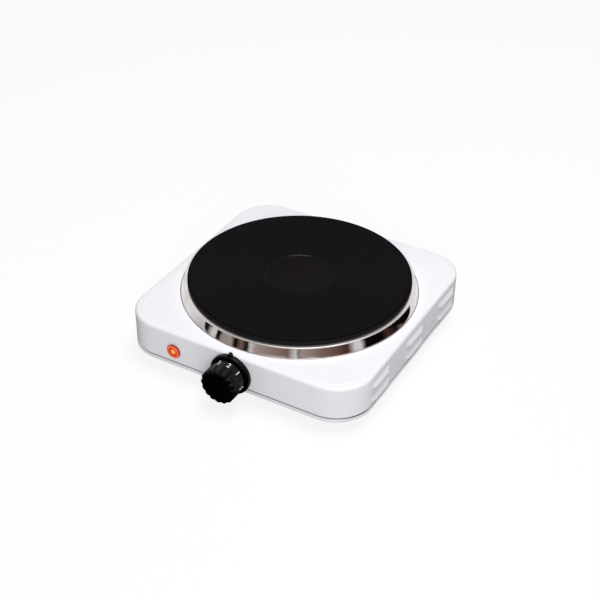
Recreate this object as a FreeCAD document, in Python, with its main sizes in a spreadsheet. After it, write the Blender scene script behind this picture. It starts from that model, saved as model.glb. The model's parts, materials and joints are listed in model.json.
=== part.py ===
import FreeCAD, Part
import itertools
import math
import os
import re

import Sketcher

# Single electric hot plate, in millimetres.
# +Z is up, the feet stand on z = 0, the knob faces -Y and the row's origin is the middle of the footprint.
# Sizes are measured from the plate's axis; axis_y then moves every piece to the row's frame.

SIZES = {
    # How far a cut runs past the face that it opens
    "overcut": 1,
    # Sheet-steel body
    "body_width": 212,
    "body_depth": 212,
    "corner_radius": 31.5,
    "top_edge_radius": 4.5,
    "sheet_gauge": 0.8,
    "shell_height": 28.3,
    "panel_inset": 5.3,
    "panel_raise": 0.4,
    "opening_gap": 1.5,
    # Base pan
    "rim_height": 3.4,
    "rim_gap": 1.3,
    "rim_edge_radius": 2,
    "upstand_height": 4.1,
    "nest_gap": 0.3,
    "vent_length": 40,
    "vent_width": 4,
    "vent_pitch": 11,
    "vent_row_y": 42,
    "vent_shift": -20,
    # Feet, their screws and the posts that the screws go into
    "foot_height": 10,
    "foot_radius": 11,
    "foot_taper": 1,
    "foot_seat": 5,
    "foot_screw_radius": 1.9,
    "foot_head_radius": 4,
    "foot_head_height": 2.6,
    "foot_screw_bite": 7,
    "post_radius": 4.5,
    "thread_gap": 0.05,
    # Cast-iron plate
    "plate_radius": 92.5,
    "plate_rise": 13,
    "plate_depth": 18,
    "plate_web": 6,
    "plate_rim_height": 3.8,
    "plate_edge_radius": 1.2,
    "rim_overhang": 5.5,
    "skirt_wall": 4,
    "recess_radius": 28.1,
    "recess_depth": 0.8,
    "recess_slope": 0.6,
    "boss_radius": 20,
    # Trim ring
    "ring_gauge": 0.6,
    "ring_gap": 0.6,
    "lip_overhang": 2.5,
    "lip_round": 0.6,
    "ring_flare": 2.6,
    "flange_width": 1.0,
    # Heating circuit in the plate
    "fill_gap": 0.3,
    "coil_inset": 21,
    "coil_pitch": 26,
    "coil_radius": 2.7,
    "coil_gap": 0.3,
    "coil_break": 6,
    "pin_radius": 1.5,
    "pin_half_pitch": 9,
    "pin_reach": 3,
    "plate_block_width": 28,
    "plate_block_margin": 6,
    "plate_block_height": 8,
    "link_width": 6,
    "link_gauge": 0.8,
    # Plate clamping
    "stud_radius": 4,
    "stud_bite": 10,
    "stud_tail": 3,
    "stud_hole_gap": 0.3,
    "nut_flats": 13,
    "cover_nut_height": 5,
    "clamp_nut_height": 6.5,
    "washer_radius": 9,
    "washer_gauge": 1.6,
    "bar_gauge": 2.5,
    "bar_width": 24,
    "bar_riser_gap": 2.5,
    "bar_tab": 9.5,
    # Knob and bezel
    "knob_drop": 17.9,
    "bezel_radius": 17.6,
    "bezel_thickness": 4,
    "bezel_edge_radius": 1.4,
    "bezel_nut_floor": 2,
    "bezel_nut_radius": 9,
    "nub_width": 3.3,
    "nub_radius": 20.2,
    "knob_gap": 0.6,
    "knob_reach": 21.5,
    "knob_skirt_radius": 14.9,
    "knob_waist_radius": 14.2,
    "knob_waist": 10.8,
    "knob_shoulder": 1,
    "knob_grip_radius": 15.4,
    "knob_valley_radius": 13.9,
    "knob_scallop_radius": 3,
    "knob_edge_radius": 1.2,
    "knob_cup_radius": 12.5,
    "knob_front_wall": 3,
    "knob_hub_radius": 5.5,
    "knob_hub_back": 7,
    # Regulator behind the knob
    "shaft_radius": 3,
    "shaft_flat": 2,
    "shaft_tail": 1,
    "shaft_gap": 0.05,
    "bush_radius": 5,
    "bush_reach": 6,
    "bush_hole_gap": 0.3,
    "bush_nut_flats": 14,
    "bush_nut_height": 2.4,
    "case_width": 34,
    "case_height": 21.6,
    "case_depth": 25,
    "case_wall": 1.3,
    "cover_gauge": 1.5,
    "cam_back": 14,
    "cam_width": 4,
    "cam_radius": 5.6,
    "cam_rise_per_degree": 0.00634,
    "cam_turn_down": 104.5,
    "cam_turn_up": 132,
    "cam_run_over": 10,
    "lever_gap": 0.3,
    "lever_reach": 12,
    "lever_tail": 6,
    "lever_gauge": 1.6,
    "lever_nose_radius": 1,
    "lever_hub_radius": 1.9,
    "lever_pin_radius": 1.2,
    "bimetal_x": 8,
    "bimetal_gauge": 0.8,
    "bimetal_foot": 6.5,
    "tab_width": 6.3,
    "tab_gauge": 0.8,
    "tab_x": 10,
    "tab_drop": 6,
    "tab_inside": 4,
    "tab_outside": 10,
    "tab_slot_gap": 0.1,
    "notch_gap": 2,
    # Pilot lamp
    "lamp_x": -54,
    "lamp_drop": 17.7,
    "lens_radius": 6.1,
    "lens_proud": 2,
    "lens_edge": 0.8,
    "lens_slope": 0.5,
    "lens_eye_radius": 2.4,
    "lens_eye_height": 1.5,
    "lens_groove_height": 0.9,
    "lens_ring_radius": 4,
    "lens_body_radius": 4.4,
    "lens_body_length": 9.5,
    "lens_bore_radius": 3.2,
    "lens_hole_gap": 0.2,
    "clip_radius": 7,
    "clip_gauge": 0.6,
    "bulb_radius": 2.5,
    "bulb_round": 2,
    "bulb_length": 6.5,
    "cap_radius": 5,
    "cap_length": 3.5,
    "cap_plug": 1.5,
    # Louvres in the side walls
    "louvre_length": 30,
    "louvre_height": 4.3,
    "louvre_reach": 1.8,
    "louvre_lip": 0.05,
    "louvre_end_slope": 4,
    "louvre_pitch": 60.7,
    "louvre_upper_drop": 11.8,
    "louvre_lower_drop": 24.4,
    # Supply side
    "gland_drop": 15,
    "gland_radius": 9.5,
    "gland_reach": 4,
    "gland_edge_radius": 1.3,
    "gland_body_radius": 6.9,
    "gland_body_length": 7,
    "gland_bore_radius": 4.2,
    "gland_hole_gap": 0.1,
    "gland_nut_flats": 17,
    "gland_nut_height": 5,
    "block_inset": 22,
    "block_width": 44,
    "block_depth": 18,
    "block_height": 14,
    "pole_pitch": 14,
    "pole_height": 6,
    "pole_radius": 1.8,
    "pole_screw_radius": 1.5,
    "pole_screw_length": 6,
    "block_screw_radius": 1.4,
    "block_screw_head": 2.6,
    "block_screw_length": 17,
    "earth_inset": 32,
    "earth_foot": 8,
    "earth_height": 9,
    # Internal leads
    "lead_radius": 1.1,
    "lamp_lead_radius": 0.8,
    "lead_gap": 0.2,
    "lead_floor_gap": 1.6,
    "lead_side": 26,
    "lead_run": 28,
    "lamp_lead_side": 60,
    "lamp_lead_run": 40,
}

# Levels and places that follow from the sizes above
DERIVED = {
    "axis_y": "(knob_reach - gland_reach) / 2",
    "skirt_radius": "plate_radius - rim_overhang",
    "lip_radius": "plate_radius + lip_overhang",
    "flare_radius": "lip_radius + ring_flare",
    "flange_radius": "flare_radius + flange_width",
    "coil_outer": "skirt_radius - coil_inset",
    "coil_inner": "coil_outer - coil_pitch",
    "front_y": "-body_depth / 2",
    "back_y": "body_depth / 2",
    "base_z": "foot_height",
    "floor_z": "base_z + sheet_gauge",
    "rim_top": "base_z + rim_height",
    "shell_z": "rim_top + rim_gap",
    "top_z": "shell_z + shell_height",
    "panel_z": "top_z + panel_raise",
    "ceiling_z": "panel_z - sheet_gauge",
    "plate_top": "top_z + plate_rise",
    "seat_z": "plate_top - plate_rim_height",
    "web_z": "plate_top - plate_web",
    "skirt_z": "plate_top - plate_depth",
    "cover_z": "skirt_z - sheet_gauge",
    "bar_top": "cover_z - cover_nut_height",
    "bar_z": "bar_top - bar_gauge",
    "washer_z": "bar_z - washer_gauge",
    "clamp_nut_z": "washer_z - clamp_nut_height",
    "stud_z": "clamp_nut_z - stud_tail",
    "stud_top": "skirt_z + stud_bite",
    "bar_riser_x": "skirt_radius + bar_riser_gap",
    "opening_radius": "skirt_radius + opening_gap",
    "coil_z": "web_z - coil_gap - coil_radius",
    "channel_z": "coil_z - coil_radius - coil_gap",
    "plate_block_z": "cover_z - plate_block_height",
    "pin_z": "plate_block_z - pin_reach",
    "pin_outer_y": "sqrt(coil_outer * coil_outer - pin_half_pitch * pin_half_pitch)",
    "pin_inner_y": "sqrt(coil_inner * coil_inner - pin_half_pitch * pin_half_pitch)",
    "foot_x": "body_width / 2 - corner_radius",
    "foot_y": "body_depth / 2 - corner_radius",
    "knob_z": "top_z - knob_drop",
    "lamp_z": "top_z - lamp_drop",
    "gland_z": "top_z - gland_drop",
    "knob_back": "bezel_thickness + knob_gap",
    "cup_floor": "knob_reach - knob_front_wall",
    "shaft_hole_end": "cup_floor - overcut",
    "case_back": "-sheet_gauge - case_depth",
    "regulator_back": "case_back - cover_gauge",
    "lever_y": "cam_radius + lever_gap + lever_nose_radius",
    "tab_back": "regulator_back - tab_outside",
    "pole_z": "floor_z + pole_height",
    "block_y": "back_y - block_inset",
    "earth_y": "block_y - earth_inset",
    "block_top": "floor_z + block_height",
}

doc = FreeCAD.newDocument("hot_plate")
sheet = doc.addObject("Spreadsheet::Sheet", "dims")
sums = doc.addObject("Spreadsheet::Sheet", "sums")
ORIGIN = FreeCAD.Vector(0, 0, 0)
X_AXIS = FreeCAD.Vector(1, 0, 0)
Z_AXIS = FreeCAD.Vector(0, 0, 1)
FACING = {"up": 0, "front": 90, "back": -90}
VENT_STEPS = range(-3, 4)
KNOB_LOBES = 16
CAM_STEPS = 16
TOLERANCE = 1e-4
finished = []


def fill_sheet():
    """Write every size as a plain number and every level as a formula, each with its own name."""
    rows = list(SIZES.items())
    rows += [(name, "=" + text) for name, text in DERIVED.items()]
    for row, (name, content) in enumerate(rows, 1):
        sheet.set(f"A{row}", name)
        sheet.set(f"B{row}", str(content))
        sheet.setAlias(f"B{row}", name)
    doc.recompute()


def size(name):
    """The value that the sheet holds for one name."""
    return float(getattr(sheet, name))


def formula(text):
    """Point each size name in a formula at the sheet."""
    names = SIZES.keys() | DERIVED.keys()
    return re.sub(r"[a-z]\w*", lambda m: f"dims.{m[0]}" if m[0] in names else m[0], str(text))


def worth(text):
    """What a formula in size names comes to now, worked out in a cell of its own."""
    sums.set("A1", "=" + formula(text))
    sums.recompute()
    return float(sums.get("A1"))


def tie(thing, prop, text):
    """Bind one property of an object to a formula in size names."""
    thing.setExpression(prop, formula(text))


def put(thing, x=0, y=0, z=0, facing="up", spin=0):
    """Place an object: its own axis looks up, to the front or to the back, after a spin about itself."""
    turn = FreeCAD.Rotation(X_AXIS, FACING[facing]) * FreeCAD.Rotation(Z_AXIS, spin)
    thing.Placement = FreeCAD.Placement(ORIGIN, turn)
    for axis, text in zip("xyz", (x, y, z)):
        tie(thing, f"Placement.Base.{axis}", text)
    return thing


def finish(thing, label, x=0, y=0, z=0, facing="up", spin=0):
    """Name a finished sub-part and move it into the row's frame."""
    put(thing, x, f"axis_y + {y}", z, facing, spin)
    thing.Label = label
    finished.append(thing)


def cylinder(radius, height, x=0, y=0, z=0, facing="up"):
    thing = doc.addObject("Part::Cylinder", "cylinder")
    tie(thing, "Radius", radius)
    tie(thing, "Height", height)
    return put(thing, x, y, z, facing)


def hexagon(flats, height, x=0, y=0, z=0):
    thing = doc.addObject("Part::Prism", "hexagon")
    thing.Polygon = 6
    tie(thing, "Circumradius", f"({flats}) / sqrt(3)")
    tie(thing, "Height", height)
    return put(thing, x, y, z)


def block(width, depth, height, x=0, y=0, z=0):
    """A box centred on x and y that stands on z."""
    thing = doc.addObject("Part::Box", "block")
    for prop, text in (("Length", width), ("Width", depth), ("Height", height)):
        tie(thing, prop, text)
    return put(thing, f"{x} - ({width}) / 2", f"{y} - ({depth}) / 2", z)


def fuse(*things):
    joined = doc.addObject("Part::MultiFuse", "joined")
    joined.Shapes = list(things)
    return joined


def cut(base, *tools):
    result = doc.addObject("Part::Cut", "cut")
    result.Base = base
    result.Tool = tools[0] if len(tools) == 1 else fuse(*tools)
    return result


def new_body(name):
    return doc.addObject("PartDesign::Body", name)


def new_sketch(body, role, lift=0):
    """A sketch on one of the body's own planes, lifted along that plane's normal."""
    sketch = body.newObject("Sketcher::SketchObject", "sketch")
    plane = next(item for item in body.Origin.OriginFeatures if item.Role == role)
    sketch.AttachmentSupport = [(plane, "")]
    sketch.MapMode = "FlatFace"
    tie(sketch, "AttachmentOffset.Base.z", lift)
    return sketch


def pin_point(sketch, edge, end, x, y):
    """Hold one end of a sketch edge at a place that is given by two formulas."""
    for kind, text in (("DistanceX", x), ("DistanceY", y)):
        index = sketch.addConstraint(Sketcher.Constraint(kind, -1, 1, edge, end, worth(text)))
        sketch.setExpression(f"Constraints[{index}]", formula(text))


def draw_outline(sketch, points):
    """A closed outline of straight edges through points given as formulas."""
    corners = [FreeCAD.Vector(worth(x), worth(y), 0) for x, y in points]
    count = len(corners)
    for i in range(count):
        sketch.addGeometry(Part.LineSegment(corners[i], corners[(i + 1) % count]), False)
    for i, (x, y) in enumerate(points):
        sketch.addConstraint(Sketcher.Constraint("Coincident", i - 1 if i else count - 1, 2, i, 1))
        pin_point(sketch, i, 1, x, y)


def draw_rounded_square(sketch, inset):
    """The body's outline, drawn in by an inset: four sides and four corner arcs."""
    across, along = f"body_width / 2 - ({inset})", f"body_depth / 2 - ({inset})"
    radius = f"corner_radius - ({inset})"
    w, d, r = worth(across), worth(along), worth(radius)
    corner = FreeCAD.Vector
    sides = [((r - w, -d), (w - r, -d)), ((w, r - d), (w, d - r)),
             ((w - r, d), (r - w, d)), ((-w, d - r), (-w, r - d))]
    centres = [(w - r, r - d, -90), (w - r, d - r, 0), (r - w, d - r, 90), (r - w, r - d, 180)]
    for (start, end), (x, y, angle) in zip(sides, centres):
        sketch.addGeometry(Part.LineSegment(corner(*start, 0), corner(*end, 0)), False)
        round_corner = Part.Circle(corner(x, y, 0), Z_AXIS, r)
        first = math.radians(angle)
        sketch.addGeometry(Part.ArcOfCircle(round_corner, first, first + math.pi / 2), False)
    for line in (0, 2, 4, 6):
        sketch.addConstraint(Sketcher.Constraint("Tangent", line, 2, line + 1, 1))
        sketch.addConstraint(Sketcher.Constraint("Tangent", line + 1, 2, (line + 2) % 8, 1))
        direction = "Horizontal" if line in (0, 4) else "Vertical"
        sketch.addConstraint(Sketcher.Constraint(direction, line))
    for arc in (3, 5, 7):
        sketch.addConstraint(Sketcher.Constraint("Equal", 1, arc))
    limits = [
        ("Radius", (1,), radius),
        ("DistanceX", (-1, 1, 2, 1), across), ("DistanceY", (-1, 1, 4, 1), along),
        ("DistanceX", (-1, 1, 6, 1), f"-({across})"), ("DistanceY", (-1, 1, 0, 1), f"-({along})"),
    ]
    for kind, where, text in limits:
        index = sketch.addConstraint(Sketcher.Constraint(kind, *where, worth(text)))
        sketch.setExpression(f"Constraints[{index}]", formula(text))


def add_pad(body, sketch, length, symmetric=False):
    pad = body.newObject("PartDesign::Pad", "pad")
    pad.Profile = sketch
    pad.SideType = "Symmetric" if symmetric else "One side"
    tie(pad, "Length", length)
    doc.recompute()
    return pad


def level_edges(feature, z):
    """Names of the feature's edges that lie flat at one height."""
    height = worth(z)
    names = []
    for number, edge in enumerate(feature.Shape.Edges, 1):
        box = edge.BoundBox
        if max(abs(box.ZMin - height), abs(box.ZMax - height)) < TOLERANCE:
            names.append(f"Edge{number}")
    return names


def round_edges(body, feature, names, radius):
    rounding = body.newObject("PartDesign::Fillet", "rounding")
    rounding.Base = (feature, names)
    tie(rounding, "Radius", radius)
    doc.recompute()
    return rounding


def slab(name, layers, edge_z, radius):
    """Layers of the body's outline, each with an inset, a level and a height; the first is edge-rounded."""
    body = new_body(name)
    for number, (inset, z, height) in enumerate(layers):
        sketch = new_sketch(body, "XY_Plane", z)
        draw_rounded_square(sketch, inset)
        layer = add_pad(body, sketch, height)
        if number == 0:
            round_edges(body, layer, level_edges(layer, edge_z), radius)
    return body


def lathe(name, points):
    """A turned piece: an outline of (radius, height) points taken once round its own axis."""
    body = new_body(name)
    sketch = new_sketch(body, "XZ_Plane")
    draw_outline(sketch, points)
    turned = body.newObject("PartDesign::Revolution", "turned")
    turned.Profile = sketch
    turned.ReferenceAxis = (sketch, ["V_Axis"])
    turned.Angle = 360
    doc.recompute()
    return body


def rounded_lathe(name, points, z, radius, across):
    """A turned piece with its widest edge at one height rounded."""
    body = lathe(name, points)
    reach = worth(across)
    names = [
        edge for edge in level_edges(body.Tip, z)
        if abs(body.Tip.getSubObject(edge).BoundBox.XMax - reach) < TOLERANCE
    ]
    round_edges(body, body.Tip, names, radius)
    return body


def side_louvres(inset):
    """Wedges for the louvres of both side walls: widest at the open lower edge, tapering to nothing above."""
    half = f"(louvre_length / 2 - {inset})"
    limits = {
        "Xmin": "-sheet_gauge", "Xmax": f"louvre_reach - {inset}",
        "X2min": "-sheet_gauge", "X2max": f"louvre_lip - {inset}",
        "Ymin": 0, "Ymax": f"louvre_height - {inset}",
        "Zmin": f"-{half}", "Zmax": half,
        "Z2min": f"louvre_end_slope - {half}", "Z2max": f"{half} - louvre_end_slope",
    }
    walls = [("body_width / 2", "front", 0), ("-body_width / 2", "back", 180)]
    drops = ("louvre_upper_drop", "louvre_lower_drop")
    wedges = []
    for (x, facing, spin), drop, place in itertools.product(walls, drops, (-1, 0, 1)):
        wedge = doc.addObject("Part::Wedge", "louvre")
        for prop, text in limits.items():
            tie(wedge, prop, text)
        wedges.append(put(wedge, x, f"{place} * louvre_pitch", f"top_z - {drop}", facing, spin))
    return wedges


def make_upper_shell():
    outside = slab("shell_outside", [
        ("0", "shell_z", "shell_height"),
        ("panel_inset", "top_z", "panel_raise"),
    ], "top_z", "top_edge_radius")
    inside = slab("shell_inside", [
        ("sheet_gauge", "shell_z", "shell_height - sheet_gauge"),
        ("panel_inset + sheet_gauge", "top_z - sheet_gauge", "panel_raise"),
    ], "top_z - sheet_gauge", "top_edge_radius - sheet_gauge")
    holes = [
        cylinder("opening_radius", "plate_rise", z="ceiling_z - overcut"),
        cylinder("bush_radius + bush_hole_gap", "sheet_gauge * 3",
                 0, "front_y + sheet_gauge * 2", "knob_z", "front"),
        cylinder("lens_body_radius + lens_hole_gap", "sheet_gauge * 3",
                 "lamp_x", "front_y + sheet_gauge * 2", "lamp_z", "front"),
        cylinder("gland_body_radius + gland_hole_gap", "sheet_gauge * 3",
                 0, "back_y - sheet_gauge * 2", "gland_z", "back"),
    ]
    pressed = fuse(outside, *side_louvres("0"))
    finish(cut(pressed, inside, *holes, *side_louvres("sheet_gauge")), "upper_shell")


def make_base_pan():
    outside = slab("pan_outside", [
        ("0", "base_z", "rim_height"),
        ("sheet_gauge + nest_gap", "rim_top", "upstand_height"),
    ], "base_z", "rim_edge_radius")
    inside = slab("pan_inside", [
        ("sheet_gauge", "floor_z", "rim_height - 2 * sheet_gauge"),
        ("2 * sheet_gauge + nest_gap", "rim_top - sheet_gauge", "upstand_height + 2 * sheet_gauge"),
    ], "floor_z", "rim_edge_radius - sheet_gauge")
    through = ("3 * sheet_gauge", "base_z - sheet_gauge")
    notch = block("case_width + 2 * notch_gap", "corner_radius", "upstand_height + overcut",
                  0, "front_y", "rim_top")
    cuts = [inside, notch]
    for side, step in itertools.product((-1, 1), VENT_STEPS):
        x, y = f"{step} * vent_pitch", f"{side} * vent_row_y + vent_shift"
        cuts.append(block("vent_width", "vent_length", through[0], x, y, through[1]))
    for x, y in foot_places():
        cuts.append(cylinder("foot_screw_radius + thread_gap", through[0], x, y, through[1]))
    for x in block_screw_places():
        cuts.append(cylinder("block_screw_radius + thread_gap", through[0], x, "block_y", through[1]))
    finish(cut(outside, *cuts), "base_pan")


def foot_places():
    return [(f"{x} * foot_x", f"{y} * foot_y") for y in (-1, 1) for x in (-1, 1)]


def block_screw_places():
    return [f"{side} * pole_pitch / 2" for side in (-1, 1)]


def make_feet():
    """Rubber feet with a screw seat from below, and the posts between base and top that the screws hold."""
    corners = ("front_left", "front_right", "rear_left", "rear_right")
    for corner, (x, y) in zip(corners, foot_places()):
        foot = lathe("foot_body", [
            ("foot_screw_radius + thread_gap", "foot_seat"),
            ("foot_screw_radius + thread_gap", "foot_height"),
            ("foot_radius", "foot_height"),
            ("foot_radius - foot_taper", 0),
            ("foot_head_radius + foot_taper", 0),
            ("foot_head_radius + foot_taper", "foot_seat"),
        ])
        finish(foot, f"foot_{corner}", x, y)
        pilot = cylinder("foot_screw_radius + thread_gap", "foot_screw_bite + 2 * overcut",
                         z="floor_z - overcut")
        post = cut(cylinder("post_radius", "ceiling_z - floor_z", z="floor_z"), pilot)
        finish(post, f"post_{corner}", x, y)
    screws = []
    for x, y in foot_places():
        head = cylinder("foot_head_radius", "foot_head_height", x, y, "foot_seat - foot_head_height")
        shank = cylinder("foot_screw_radius", "floor_z + foot_screw_bite - foot_seat", x, y, "foot_seat")
        screws.append(fuse(head, shank))
    finish(fuse(*screws), "foot_screws")


def make_cast_iron_plate():
    bore = "stud_radius + thread_gap"
    plate = rounded_lathe("plate_body", [
        (0, "plate_top - recess_depth"),
        ("recess_radius", "plate_top - recess_depth"),
        ("recess_radius + recess_slope", "plate_top"),
        ("plate_radius", "plate_top"),
        ("plate_radius", "seat_z"),
        ("skirt_radius", "seat_z"),
        ("skirt_radius", "skirt_z"),
        ("skirt_radius - skirt_wall", "skirt_z"),
        ("skirt_radius - skirt_wall", "web_z"),
        ("boss_radius", "web_z"),
        ("boss_radius", "skirt_z"),
        (bore, "skirt_z"),
        (bore, "stud_top"),
        (0, "stud_top"),
    ], "plate_top", "plate_edge_radius", "plate_radius")
    finish(plate, "cast_iron_plate")


def make_trim_ring():
    """Rolled lip under the plate's rim, a wall that flares downwards and a narrow flange on the top panel."""
    ring = lathe("ring_body", [
        ("skirt_radius + ring_gap", "seat_z"),
        ("lip_radius - lip_round", "seat_z"),
        ("lip_radius", "seat_z - lip_round"),
        ("flare_radius", "panel_z + ring_gauge"),
        ("flange_radius", "panel_z + ring_gauge"),
        ("flange_radius", "panel_z"),
        ("flare_radius - ring_gauge", "panel_z"),
        ("lip_radius - ring_gauge", "seat_z - ring_gauge"),
        ("skirt_radius + ring_gap", "seat_z - ring_gauge"),
    ])
    finish(ring, "trim_ring")


def pin_places():
    return [(f"{side} * pin_half_pitch", y) for y in ("pin_outer_y", "pin_inner_y") for side in (-1, 1)]


def pin_holes(gap, length, z):
    return [cylinder(f"pin_radius + {gap}", length, x, y, z) for x, y in pin_places()]


def make_heating_circuit():
    """Two coils in the channels of a ceramic filling, their contact pins and the links between the pins."""
    wall = "coil_radius + coil_gap"
    channels = []
    for coil in ("coil_outer", "coil_inner"):
        channels += [(f"{coil} + {wall}", "web_z"), (f"{coil} + {wall}", "channel_z"),
                     (f"{coil} - ({wall})", "channel_z"), (f"{coil} - ({wall})", "web_z")]
    filling = lathe("filling_body", [
        ("boss_radius + fill_gap", "web_z"),
        ("boss_radius + fill_gap", "skirt_z"),
        ("skirt_radius - skirt_wall - fill_gap", "skirt_z"),
        ("skirt_radius - skirt_wall - fill_gap", "web_z"),
        *channels,
    ])
    drilled = cut(filling, *pin_holes("thread_gap", "channel_z - skirt_z + 2 * overcut", "skirt_z - overcut"))
    finish(drilled, "ceramic_filling")
    for coil in ("coil_outer", "coil_inner"):
        tube = doc.addObject("Part::Torus", coil)
        tie(tube, "Radius1", coil)
        tie(tube, "Radius2", "coil_radius")
        tie(tube, "Angle3", "360 - coil_break")
        finish(tube, coil.replace("coil", "heating_coil"), z="coil_z", spin=90 + size("coil_break") / 2)
    finish(fuse(*pin_holes("0", "channel_z - pin_z", "pin_z")), "contact_pins")
    span = "pin_outer_y - pin_inner_y + link_width"
    middle = "(pin_outer_y + pin_inner_y) / 2"
    link_z = "plate_block_z - link_gauge"
    strips = []
    for side in (-1, 1):
        strips.append(block("link_width", span, "link_gauge", f"{side} * pin_half_pitch", middle, link_z))
    holes = pin_holes("thread_gap", "3 * link_gauge", f"{link_z} - link_gauge")
    finish(cut(fuse(*strips), *holes), "pin_links")
    length = "pin_outer_y - pin_inner_y + 2 * plate_block_margin"
    ceramic = block("plate_block_width", length, "plate_block_height", 0, middle, "plate_block_z")
    holes = pin_holes("thread_gap", "plate_block_height + 2 * overcut", "plate_block_z - overcut")
    finish(cut(ceramic, *holes), "plate_terminal_block")


def make_plate_clamping():
    """The sheet cover under the plate, and the stud, bar and nuts that pull the plate down on the top."""
    disc = cylinder("skirt_radius", "sheet_gauge", z="cover_z")
    stud_hole = cylinder("stud_radius + stud_hole_gap", "3 * sheet_gauge", z="cover_z - sheet_gauge")
    holes = pin_holes("stud_hole_gap", "3 * sheet_gauge", "cover_z - sheet_gauge")
    finish(cut(disc, stud_hole, *holes), "plate_cover")
    finish(cylinder("stud_radius", "stud_top - stud_z"), "plate_stud", z="stud_z")
    thread = "stud_radius + thread_gap"
    for label, height, z in (("cover_nut", "cover_nut_height", "bar_top"),
                             ("clamp_nut", "clamp_nut_height", "clamp_nut_z")):
        finish(cut(hexagon("nut_flats", height), cylinder(thread, height)), label, z=z)
    loose = "stud_radius + stud_hole_gap"
    washer = cut(cylinder("washer_radius", "washer_gauge"), cylinder(loose, "washer_gauge"))
    finish(washer, "clamp_washer", z="washer_z")
    reach = "bar_riser_x + bar_tab"
    outer = "bar_riser_x + bar_gauge"
    bar = new_body("bar_body")
    sketch = new_sketch(bar, "XZ_Plane")
    draw_outline(sketch, [
        (f"-({reach})", "ceiling_z"), ("-bar_riser_x", "ceiling_z"), ("-bar_riser_x", "bar_top"),
        ("bar_riser_x", "bar_top"), ("bar_riser_x", "ceiling_z"), (reach, "ceiling_z"),
        (reach, "ceiling_z - bar_gauge"), (outer, "ceiling_z - bar_gauge"), (outer, "bar_z"),
        (f"-({outer})", "bar_z"), (f"-({outer})", "ceiling_z - bar_gauge"),
        (f"-({reach})", "ceiling_z - bar_gauge"),
    ])
    add_pad(bar, sketch, "bar_width", symmetric=True)
    finish(cut(bar, cylinder(loose, "2 * bar_gauge", z="bar_z - bar_gauge / 2")), "clamp_bar")


def shaft_solid(grow, start, end):
    """The control shaft's D section, made larger by a gap where it is a hole."""
    round_bar = cylinder(f"shaft_radius + {grow}", f"{end} - ({start})", z=start)
    flat = block("4 * shaft_radius", "2 * shaft_radius", "shaft_hole_end - knob_hub_back + overcut",
                 0, f"shaft_flat + {grow} + shaft_radius", "knob_hub_back")
    return cut(round_bar, flat)


def make_knob():
    """The knob is drawn with its axis as Z, from the front wall outwards, and then turned to the front."""
    knob = rounded_lathe("knob_body", [
        (0, "knob_hub_back"), ("knob_hub_radius", "knob_hub_back"), ("knob_hub_radius", "cup_floor"),
        ("knob_cup_radius", "cup_floor"), ("knob_cup_radius", "knob_back"),
        ("knob_skirt_radius", "knob_back"), ("knob_waist_radius", "knob_waist"),
        ("knob_grip_radius", "knob_waist + knob_shoulder"),
        ("knob_grip_radius", "knob_reach"), (0, "knob_reach"),
    ], "knob_reach", "knob_edge_radius", "knob_grip_radius")
    away = "(knob_valley_radius + knob_scallop_radius)"
    scallops = []
    for lobe in range(KNOB_LOBES):
        angle = math.radians((lobe + 0.5) * 360 / KNOB_LOBES)
        x, y = f"{away} * {math.cos(angle):.5f}", f"{away} * {math.sin(angle):.5f}"
        scallops.append(cylinder("knob_scallop_radius", "knob_reach", x, y, "knob_waist"))
    socket = shaft_solid("shaft_gap", "knob_hub_back - overcut", "shaft_hole_end")
    finish(cut(knob, socket, *scallops), "knob", 0, "front_y", "knob_z", "front")


def make_bezel():
    hole = "bush_radius + bush_hole_gap"
    disc = rounded_lathe("bezel_body", [
        (hole, 0), ("bezel_radius", 0), ("bezel_radius", "bezel_thickness"),
        ("bezel_nut_radius", "bezel_thickness"), ("bezel_nut_radius", "bezel_nut_floor"),
        (hole, "bezel_nut_floor"),
    ], "bezel_thickness", "bezel_edge_radius", "bezel_radius")
    tip = "nub_radius - nub_width / 2"
    thickness = "bezel_thickness - bezel_edge_radius / 2"
    nub = block("nub_width", f"{tip} - bezel_radius + bezel_edge_radius * 2", thickness, 0,
                f"({tip} + bezel_radius - bezel_edge_radius * 2) / 2", 0)
    round_tip = cylinder("nub_width / 2", thickness, 0, tip)
    finish(fuse(disc, nub, round_tip), "knob_bezel", 0, "front_y", "knob_z", "front")
    thread = cylinder("bush_radius + thread_gap", "bush_nut_height + 2 * overcut",
                      z="bezel_nut_floor - overcut")
    nut = cut(hexagon("bush_nut_flats", "bush_nut_height", z="bezel_nut_floor"), thread)
    finish(nut, "control_nut", 0, "front_y", "knob_z", "front")


def make_regulator_case():
    shell = block("case_width", "case_height", "case_depth", z="case_back")
    bush = cylinder("bush_radius", "bush_reach + sheet_gauge + case_wall", z="-sheet_gauge - case_wall")
    hollow = block("case_width - 2 * case_wall", "case_height - 2 * case_wall", "case_depth",
                   z="case_back - case_wall")
    bore = cylinder("shaft_radius + shaft_gap", "3 * case_depth", z="case_back")
    finish(cut(fuse(shell, bush), hollow, bore), "regulator_case", 0, "front_y", "knob_z", "front")
    plate = block("case_width", "case_height", "cover_gauge", z="regulator_back")
    slots = [block("tab_width + 2 * tab_slot_gap", "tab_gauge + 2 * tab_slot_gap", "3 * cover_gauge",
                   f"{side} * tab_x", "-tab_drop", "regulator_back - cover_gauge") for side in (-1, 1)]
    bearing = cylinder("shaft_radius + shaft_gap", "3 * cover_gauge", z="regulator_back - cover_gauge")
    finish(cut(plate, bearing, *slots), "regulator_cover", 0, "front_y", "knob_z", "front")
    tabs = [block("tab_width", "tab_gauge", "tab_inside + cover_gauge + tab_outside",
                  f"{side} * tab_x", "-tab_drop", "tab_back") for side in (-1, 1)]
    finish(fuse(*tabs), "regulator_tabs", 0, "front_y", "knob_z", "front")


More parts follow.
